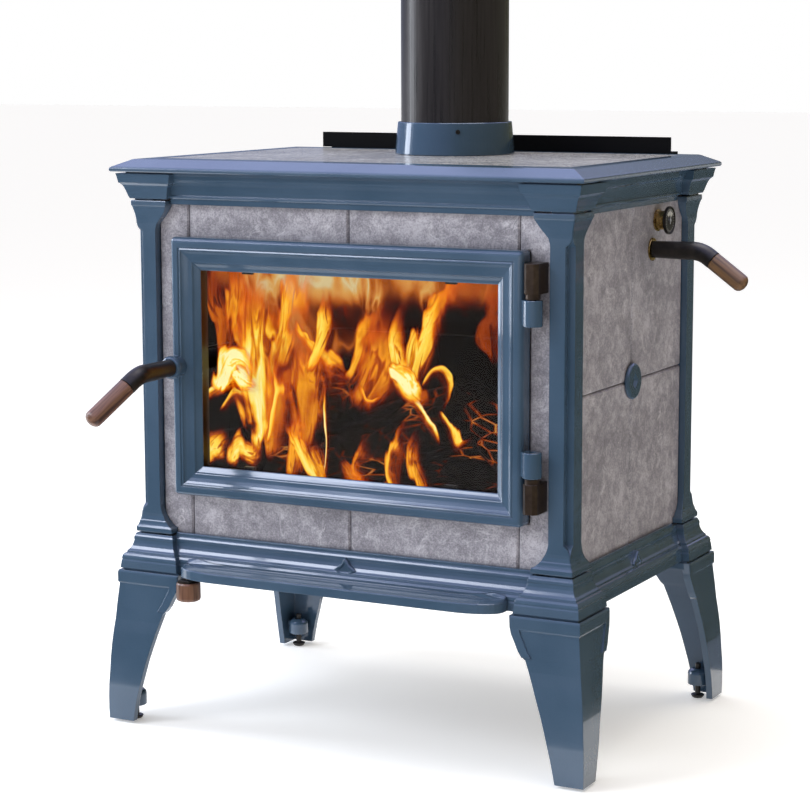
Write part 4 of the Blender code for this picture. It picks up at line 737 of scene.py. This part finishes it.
# depth, heat, bright rim (0 to 1), widths from foot to tip, route
FLAMES = (
    (0, 1.30, 0.0, (16, 34, 60, 66, 44),
     (-172, 372), (-166, 430), (-172, 500), (-165, 580), (-150, 690)),
    (6, 1.10, 0.2, (14, 34, 40, 26), (-152, 470), (-128, 535), (-112, 600), (-84, 690)),
    (10, 0.90, 0.3, (12, 30, 34, 22), (-178, 480), (-205, 560), (-196, 610), (-205, 690)),
    (-4, 1.9, 0.0, (14, 30, 34, 14), (-236, 462), (-216, 498), (-196, 510), (-160, 468)),
    (-3, 1.7, 0.0, (10, 22, 22, 10), (-214, 518), (-204, 492), (-186, 478), (-158, 470)),
    (-2, 1.2, 0.6, (6, 14, 18, 8), (-262, 448), (-228, 468), (-196, 476), (-160, 462)),
    (2, 0.9, 0.8, (6, 16, 18, 6), (-232, 432), (-205, 456), (-185, 458), (-158, 476)),
    (-6, 1.2, 0.0, (10, 30, 18), (-262, 362), (-236, 388), (-210, 408)),
    (-6, 1.2, 0.0, (10, 28, 26, 10), (-216, 362), (-196, 386), (-172, 380), (-156, 402)),
    (4, 0.85, 0.3, (12, 36, 44, 16), (-150, 366), (-138, 420), (-128, 480), (-122, 560)),
    (-4, 0.95, 0.9, (8, 26, 26, 10), (-150, 388), (-132, 438), (-126, 482), (-134, 535)),
    (-8, 1.25, 0.4, (10, 28, 26, 8), (-48, 330), (-76, 372), (-100, 412), (-124, 446)),
    (-6, 0.95, 0.2, (14, 30, 24, 8), (-112, 344), (-104, 390), (-96, 425), (-88, 468)),
    (8, 0.85, 0.1, (16, 50, 60, 30), (-98, 380), (-92, 450), (-84, 520), (-62, 590)),
    (0, 1.1, 1.0, (5, 9, 10, 5), (-64, 352), (-58, 400), (-62, 450), (-56, 498)),
    (-2, 1.25, 0.3, (8, 28, 32, 10), (-92, 492), (-62, 540), (-50, 580), (-60, 630)),
    (2, 1.0, 0.5, (8, 22, 26, 14), (-120, 568), (-84, 530), (-48, 500), (-18, 492)),
    (4, 0.95, 0.5, (10, 26, 36, 24), (-34, 486), (-8, 520), (6, 566), (50, 605)),
    (10, 0.8, 0.0, (20, 56, 66, 50), (-30, 452), (8, 500), (22, 550), (50, 610)),
    (0, 0.75, 0.9, (6, 14, 14, 6), (-12, 490), (-4, 462), (18, 462), (44, 478)),
    (-4, 1.8, 0.0, (12, 28, 30, 12), (34, 516), (56, 502), (72, 482), (92, 456)),
    (-2, 1.3, 0.3, (8, 26, 24, 10), (64, 466), (56, 520), (50, 560), (66, 612)),
    (0, 1.25, 0.2, (10, 30, 32, 28), (62, 474), (84, 540), (112, 590), (160, 676)),
    (8, 0.9, 0.3, (10, 30, 36, 34), (76, 520), (96, 580), (132, 620), (210, 668)),
    (2, 0.9, 0.9, (6, 14, 14, 6), (84, 486), (102, 508), (118, 488), (106, 452)),
    (2, 0.95, 0.9, (6, 14, 16, 8), (104, 456), (124, 438), (138, 412), (166, 424)),
    (-2, 1.2, 0.8, (6, 12, 10, 5), (66, 476), (88, 446), (104, 428), (112, 410)),
    (-6, 0.95, 0.7, (8, 20, 22, 8), (52, 335), (42, 376), (52, 412), (78, 452)),
    (-6, 1.0, 0.4, (10, 24, 22, 8), (98, 335), (82, 374), (74, 404), (88, 440)),
    (-4, 0.85, 0.2, (8, 30, 24, 8), (-40, 384), (-18, 356), (-2, 352), (10, 384)),
    (-4, 0.8, 0.4, (8, 18, 16, 6), (2, 344), (-12, 372), (-2, 398), (6, 424)),
    (12, 0.72, 0.3, (12, 30, 40, 26), (-232, 500), (-222, 560), (-236, 600), (-214, 690)),
    (14, 0.55, 0.2, (10, 36, 46, 30), (188, 520), (176, 570), (196, 610), (220, 690)))
for number, (depth, heat, edge, widths, *route) in enumerate(FLAMES, 1):
    tongue(number, depth, heat, edge, widths, *route)

# Burning gas further back fills the room above the logs, pale under the baffle.
haze = new_finish("burning_haze")
air = haze.stretched(1.0, 1.0, 0.42)
bend = haze.noise(air, 9.0, 3.0, 0.5, 0.0, 1)
swirl = haze.node("ShaderNodeVectorMath", {"operation": "MULTIPLY_ADD"},
                  {0: bend, 1: (0.10, 0.10, 0.05), 2: air})
wisps = haze.ridge(haze.noise(swirl, 17.0, 3.0, 0.5, 0.6)) ** 5.0
cloud = haze.noise(swirl, 7.0, 3.0, 0.5)
where = haze.node("ShaderNodeSeparateXYZ", {}, {"Vector": haze.place()})
wide, tall = haze.put_out(where, 0) - hearth_x, haze.put_out(where, 2)
core = haze.span(tall, 0.42, 0.52) * haze.span(wide, 0.12, -0.02) * haze.span(wide, -0.26, -0.17)
under_baffle = haze.span(tall, 0.575, 0.615) * haze.span(wide, 0.30, 0.12)
amount = (core * (wisps * 0.45 + haze.span(cloud, 0.45, 0.70) * 0.22)
          + under_baffle * (0.30 + wisps * 0.28))
haze.shade(Base_Color=(0.0, 0.0, 0.0), Specular_IOR_Level=0.0, Roughness=1.0,
           Emission_Color=haze.ramp(amount, (0.0, (0.12, 0.004, 0.0005)),
                                    (0.22, (0.48, 0.035, 0.002)), (0.45, (0.92, 0.22, 0.02)),
                                    (0.75, (1.0, 0.52, 0.13)), (1.0, (1.0, 0.80, 0.42))),
           Emission_Strength=0.8, Alpha=haze.span(amount, 0.04, 0.70) * 0.85)
HAZE_WIDE, HAZE_HIGH, HAZE_Z, HAZE_BACK, HAZE_WAVE = 0.56, 0.300, 0.490, 0.045, 0.012
sheet_mesh = bmesh.new()
bmesh.ops.create_grid(sheet_mesh, x_segments=40, y_segments=28, size=0.5)
for vertex in sheet_mesh.verts:
    u, v = vertex.co.x, vertex.co.y
    vertex.co = (hearth_x + u * HAZE_WIDE, FLAME_Y + HAZE_BACK + HAZE_WAVE * math.sin(u * 9.0),
                 HAZE_Z + v * HAZE_HIGH)
new_piece("flame_haze", sheet_mesh, haze)

# -------------------------------------------------------- joints of the stones
# Furnace cement fills the open joints between the stones, set a little behind their faces.
cement = speckled("furnace_cement", (700.0, 3.0), (0.045, 0.042, 0.042),
                  (0.10, 0.095, 0.095), 0.95, (0.5, 0.0005))


def block_mesh(boxes, bevel=0.0):
    """Closed boxes between pairs of corners, with rounded edges where asked."""
    bm = bmesh.new()
    for low, high in boxes:
        made = bmesh.ops.create_cube(bm, size=1.0)["verts"]
        for vertex in made:
            vertex.co = Vector([low[i] if vertex.co[i] < 0.0 else high[i] for i in range(3)])
    if bevel:
        bmesh.ops.bevel(bm, geom=bm.edges[:], offset=bevel, segments=3, profile=0.7,
                        affect="EDGES")
    return bm


SET_BACK, JOINT_HALF = 0.0045, 0.0004


def joint(first, second, axis, face):
    """Strip of cement between two stones that lie apart on an axis; face is their outer side."""
    a_low, a_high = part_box(first)
    b_low, b_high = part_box(second)
    low = Vector([max(a_low[i], b_low[i]) for i in range(3)])
    high = Vector([min(a_high[i], b_high[i]) for i in range(3)])
    middle = (min(a_high[axis], b_high[axis]) + max(a_low[axis], b_low[axis])) / 2.0
    low[axis], high[axis] = middle - JOINT_HALF, middle + JOINT_HALF
    side = abs(face) - 1
    if face > 0:
        high[side] -= SET_BACK
    else:
        low[side] += SET_BACK
    return low, high


seams = [joint("stone_front_%s_left" % level, "stone_front_%s_right" % level, 0, -2)
         for level in ("upper", "lower")]
seams += [joint("stone_front_%s_%s" % (level, side), "stone_front_column_" + side, 0, -2)
          for level in ("upper", "lower") for side in ("left", "right")]
for side, face in (("left", -1), ("right", 1)):
    name = "stone_" + side + "_%s_%s"
    seams += [joint(name % (end, "upper"), name % (end, "lower"), 2, face)
              for end in ("front", "rear")]
    seams += [joint(name % ("front", level), name % ("rear", level), 1, face)
              for level in ("upper", "lower")]
new_piece("stone_joints", block_mesh(seams), cement)

# ---------------------------------------------------------------- fasteners
# Black socket head screws: one holds the pipe in its collar, four hold the rear shield, and
# one holds each of the four glass clips inside the door.
screw = Pattern("cap_screw", Radius=0.004, Height=0.004, Socket=0.0022)
head = screw.node("GeometryNodeMeshCylinder", {"fill_type": "NGON"}, {
    "Vertices": 28, "Radius": screw.given("Radius"), "Depth": screw.given("Height")})
drill = screw.node("GeometryNodeMeshCylinder", {"fill_type": "NGON"}, {
    "Vertices": 6, "Radius": screw.given("Socket"), "Depth": screw.given("Height")})
lift = screw.node("ShaderNodeCombineXYZ", {}, {"Z": screw.given("Height") * 0.45})
drill = screw.node("GeometryNodeTransform", {}, {"Geometry": drill, "Translation": lift})
bored = screw.node("GeometryNodeMeshBoolean", {"operation": "DIFFERENCE", "solver": "EXACT"},
                   {"Mesh 1": head, "Mesh 2": drill})
screw.close(screw.copies(screw.given("Geometry"), bored))

screw_steel = speckled("black_screw", (1200.0, 2.0), (0.012, 0.011, 0.010),
                       (0.030, 0.027, 0.024), (0.28, 0.42), (0.2, 0.0002), Metallic=0.7)


def screws(name, places, direction, body="root", slot="black_steel", **sizes):
    """Screws whose heads look along a direction."""
    facing = Vector(direction).to_track_quat("Z", "Y")
    around = [facing.inverted() @ Vector(place) for place in places]
    piece = screw.grow(name, around, screw_steel, slot, body, **sizes)
    piece.data.transform(facing.to_matrix().to_4x4())


# ------------------------------------------------------ bypass and gauge trim
# A thin brass washer lies on the stone behind the bypass shaft and a deeper brass hub behind
# the thermometer.  The dial has a pale sector and raised marks.
brass = speckled("brass", (160.0, 4.0, 0.6), (0.36, 0.22, 0.06), (0.72, 0.52, 0.21),
                 (0.20, 0.36), (0.2, 0.0003), Metallic=1.0)


def turned_ring(profile, start, centre, steps=64):
    """Ring turned about an axis along X: its profile gives radius and distance from a start."""
    bm = bmesh.new()
    rings = []
    for k in range(steps):
        a = 2.0 * math.pi * k / steps
        rings.append([bm.verts.new((start + x, centre[0] + r * math.cos(a),
                                    centre[1] + r * math.sin(a))) for r, x in profile])
    for k in range(steps):
        one, two = rings[k], rings[(k + 1) % steps]
        for i in range(len(profile)):
            j = (i + 1) % len(profile)
            bm.faces.new((one[i], one[j], two[j], two[i]))
    bmesh.ops.recalc_face_normals(bm, faces=bm.faces)
    return bm


stone_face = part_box("stone_right_rear_upper")[1].x
bypass_at = next(joint["pos_m"] for joint in frame["joints"] if joint["name"] == "bypass_turn")
dial_low, dial_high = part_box("gauge_dial")
dial_at = ((dial_low.y + dial_high.y) / 2.0, (dial_low.z + dial_high.z) / 2.0)
OFF_STONE = 0.0003
WASHER_R, WASHER_BORE, WASHER_T = 0.0156, 0.0066, 0.0026
new_piece("bypass_washer", turned_ring((
    (WASHER_BORE, OFF_STONE), (WASHER_R - 0.0006, OFF_STONE), (WASHER_R, 0.0010),
    (WASHER_R, 0.0020), (WASHER_R - 0.0008, WASHER_T), (WASHER_BORE, WASHER_T)),
    stone_face, bypass_at[1:]), brass)
HUB_R, HUB_BORE, HUB_DEEP, HUB_RIM, HUB_CHAMFER = 0.0128, 0.0112, 0.0122, 0.0022, 0.001
new_piece("gauge_hub", turned_ring((
    (HUB_BORE, OFF_STONE), (HUB_R + HUB_RIM, OFF_STONE), (HUB_R + HUB_RIM, 0.0024),
    (HUB_R, 0.0034), (HUB_R, HUB_DEEP), (HUB_R - HUB_CHAMFER, HUB_DEEP + HUB_CHAMFER),
    (HUB_BORE, HUB_DEEP + HUB_CHAMFER)), stone_face, dial_at), brass)

# Raised pale marks around the dial and one pale sector over its top.
marks_paint = new_finish("dial_marks")
grain = marks_paint.noise(marks_paint.place(), 900.0, 2.0)
marks_paint.shade(Base_Color=marks_paint.ramp(grain, (0.3, (0.42, 0.42, 0.40)),
                                              (0.7, (0.66, 0.66, 0.63))), Roughness=0.5)
RIM_DROP, MARK_LIFT, MARK_T, MARK_R = 0.0012, 0.0002, 0.0003, 0.0145
marks_x = dial_high.x - RIM_DROP + MARK_LIFT
marks = Pattern("dial_marks", Count=25, Radius=MARK_R, Long=0.0022, Wide=0.0005, Thick=MARK_T)
circle = marks.node("GeometryNodeMeshCircle", {}, {"Vertices": marks.given("Count"),
                                                   "Radius": marks.given("Radius")})
tick = marks.node("GeometryNodeMeshCube", {}, {"Size": marks.node("ShaderNodeCombineXYZ", {}, {
    "X": marks.given("Long"), "Y": marks.given("Wide"), "Z": marks.given("Thick")})})
place_of = marks.node("GeometryNodeInputPosition")
facing_out = marks.node("FunctionNodeAlignRotationToVector", {"axis": "X"}, {"Vector": place_of})
ring_of = marks.copies(circle, tick, facing_out)
marks.close(marks.copies(marks.given("Geometry"), ring_of, (0.0, math.pi / 2.0, 0.0)))
marks.grow("dial_ticks", [(marks_x, *dial_at)], marks_paint, "zinc")

sector = bmesh.new()
SECTOR_STEPS, SECTOR_FROM, SECTOR_SPAN = 18, 40.0, 100.0
SECTOR_IN, SECTOR_OUT = 0.0070, 0.0125
inner_arc, outer_arc = [], []
for k in range(SECTOR_STEPS + 1):
    a = math.radians(SECTOR_FROM + SECTOR_SPAN * k / SECTOR_STEPS)
    for arc, radius in ((inner_arc, SECTOR_IN), (outer_arc, SECTOR_OUT)):
        arc.append(sector.verts.new((marks_x, dial_at[0] + radius * math.cos(a),
                                     dial_at[1] + radius * math.sin(a))))
for k in range(SECTOR_STEPS):
    sector.faces.new((inner_arc[k], outer_arc[k], outer_arc[k + 1], inner_arc[k + 1]))
bmesh.ops.recalc_face_normals(sector, faces=sector.faces)
made = bmesh.ops.extrude_face_region(sector, geom=sector.faces[:])["geom"]
for item in made:
    if isinstance(item, bmesh.types.BMVert):
        item.co.x += MARK_T
bmesh.ops.recalc_face_normals(sector, faces=sector.faces)
new_piece("dial_sector", sector, marks_paint)

# ------------------------------------------------------------------ screws
HEAD_T = 0.0022
COLLAR_SCREW_R, COLLAR_SCREW_Z, COLLAR_SCREW_TURN = 0.0822, 0.818, math.radians(29.0)
collar_low, collar_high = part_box("flue_collar")
collar_at = (collar_low + collar_high) / 2.0
out_x, out_y = math.sin(COLLAR_SCREW_TURN), -math.cos(COLLAR_SCREW_TURN)
screws("collar_screw", [(collar_at.x + COLLAR_SCREW_R * out_x,
                         collar_at.y + COLLAR_SCREW_R * out_y, COLLAR_SCREW_Z)],
       (out_x, out_y, 0.0), Radius=0.0032, Height=HEAD_T, Socket=0.0017)
SHIELD_SCREW_X, SHIELD_SCREW_Z = 0.200, (0.360, 0.639)
shield_low, shield_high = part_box("rear_shield")
shield_x = (shield_low.x + shield_high.x) / 2.0
screws("shield_screws", [(shield_x + side * SHIELD_SCREW_X, shield_high.y + HEAD_T / 2.0, z)
                         for side in (-1.0, 1.0) for z in SHIELD_SCREW_Z], (0.0, 1.0, 0.0),
       Radius=0.006, Height=HEAD_T, Socket=0.003)

# --------------------------------------------------- gasket and glass clips
# A flat woven glass-fibre tape is glued round the back of the door and closes it on the black
# surround.  Four folded steel clips, one screw each, press the glass into its rebate.
tape = new_finish("woven_tape")
weave = tape.node("ShaderNodeTexChecker", {}, {"Vector": tape.place(), "Scale": 700.0}, 1)
fluff = tape.noise(tape.place(), 500.0, 3.0)
tape.shade(Base_Color=tape.ramp(weave * 0.4 + fluff * 0.5, (0.2, (0.010, 0.010, 0.010)),
                                (0.8, (0.045, 0.043, 0.040))),
           Roughness=0.95, Normal=tape.bump(weave * 0.5 + fluff * 0.5, 0.6, 0.0006))
door_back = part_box("door_frame")[1].y
pane_low, pane_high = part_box("door_glass")
ring_low, ring_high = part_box("door_surround")
TAPE_W, TAPE_T, TAPE_IN = 0.012, 0.0011, 0.008
y0 = door_back + 0.0001
y1 = y0 + TAPE_T
x0, x1 = ring_low.x + TAPE_IN, ring_high.x - TAPE_IN
z0, z1 = ring_low.z + TAPE_IN, ring_high.z - TAPE_IN
new_piece("door_gasket", block_mesh((
    ((x0, y0, z1 - TAPE_W), (x1, y1, z1)),
    ((x0, y0, z0), (x1, y1, z0 + TAPE_W)),
    ((x0, y0, z0 + TAPE_W), (x0 + TAPE_W, y1, z1 - TAPE_W)),
    ((x1 - TAPE_W, y0, z0 + TAPE_W), (x1, y1, z1 - TAPE_W)))), tape, "door")

CLIP_W, CLIP_T, CLIP_FOOT, CLIP_TOE = 0.016, 0.0012, 0.013, 0.009
CLIP_IN, CLIP_GAP, PANE_EDGE, CLIP_SCREW_OUT, CLIP_SCREW_UP = 0.075, 0.0002, 0.001, 0.0075, 0.0013
back, rest_y = door_back + CLIP_GAP, pane_high.y + CLIP_GAP
clip_steps, clip_screws = [], []
for x in (pane_low.x + CLIP_IN, pane_high.x - CLIP_IN):
    for edge, way in ((pane_low.z, -1.0), (pane_high.z, 1.0)):
        foot = sorted((edge + way * PANE_EDGE, edge + way * (PANE_EDGE + CLIP_FOOT)))
        toe = sorted((edge + way * PANE_EDGE, edge - way * CLIP_TOE))
        for near_y, (z_low, z_high) in ((back, foot), (rest_y, toe)):
            clip_steps.append(((x - CLIP_W / 2.0, near_y, z_low),
                               (x + CLIP_W / 2.0, back + CLIP_T, z_high)))
        clip_screws.append((x, back + CLIP_T + CLIP_SCREW_UP, edge + way * CLIP_SCREW_OUT))
new_piece("glass_clips", block_mesh(clip_steps, 0.0004), screw_steel, "door")
screws("glass_clip_screws", clip_screws, (0.0, 1.0, 0.0), body="door",
       Radius=0.0034, Height=HEAD_T, Socket=0.0017)

glass = new_finish("glass")
glass.shade(Base_Color=(0.97, 0.95, 0.92), Roughness=0.0, Transmission_Weight=1.0, IOR=1.22,
            Specular_IOR_Level=0.35)
dress(glass, "door_glass")
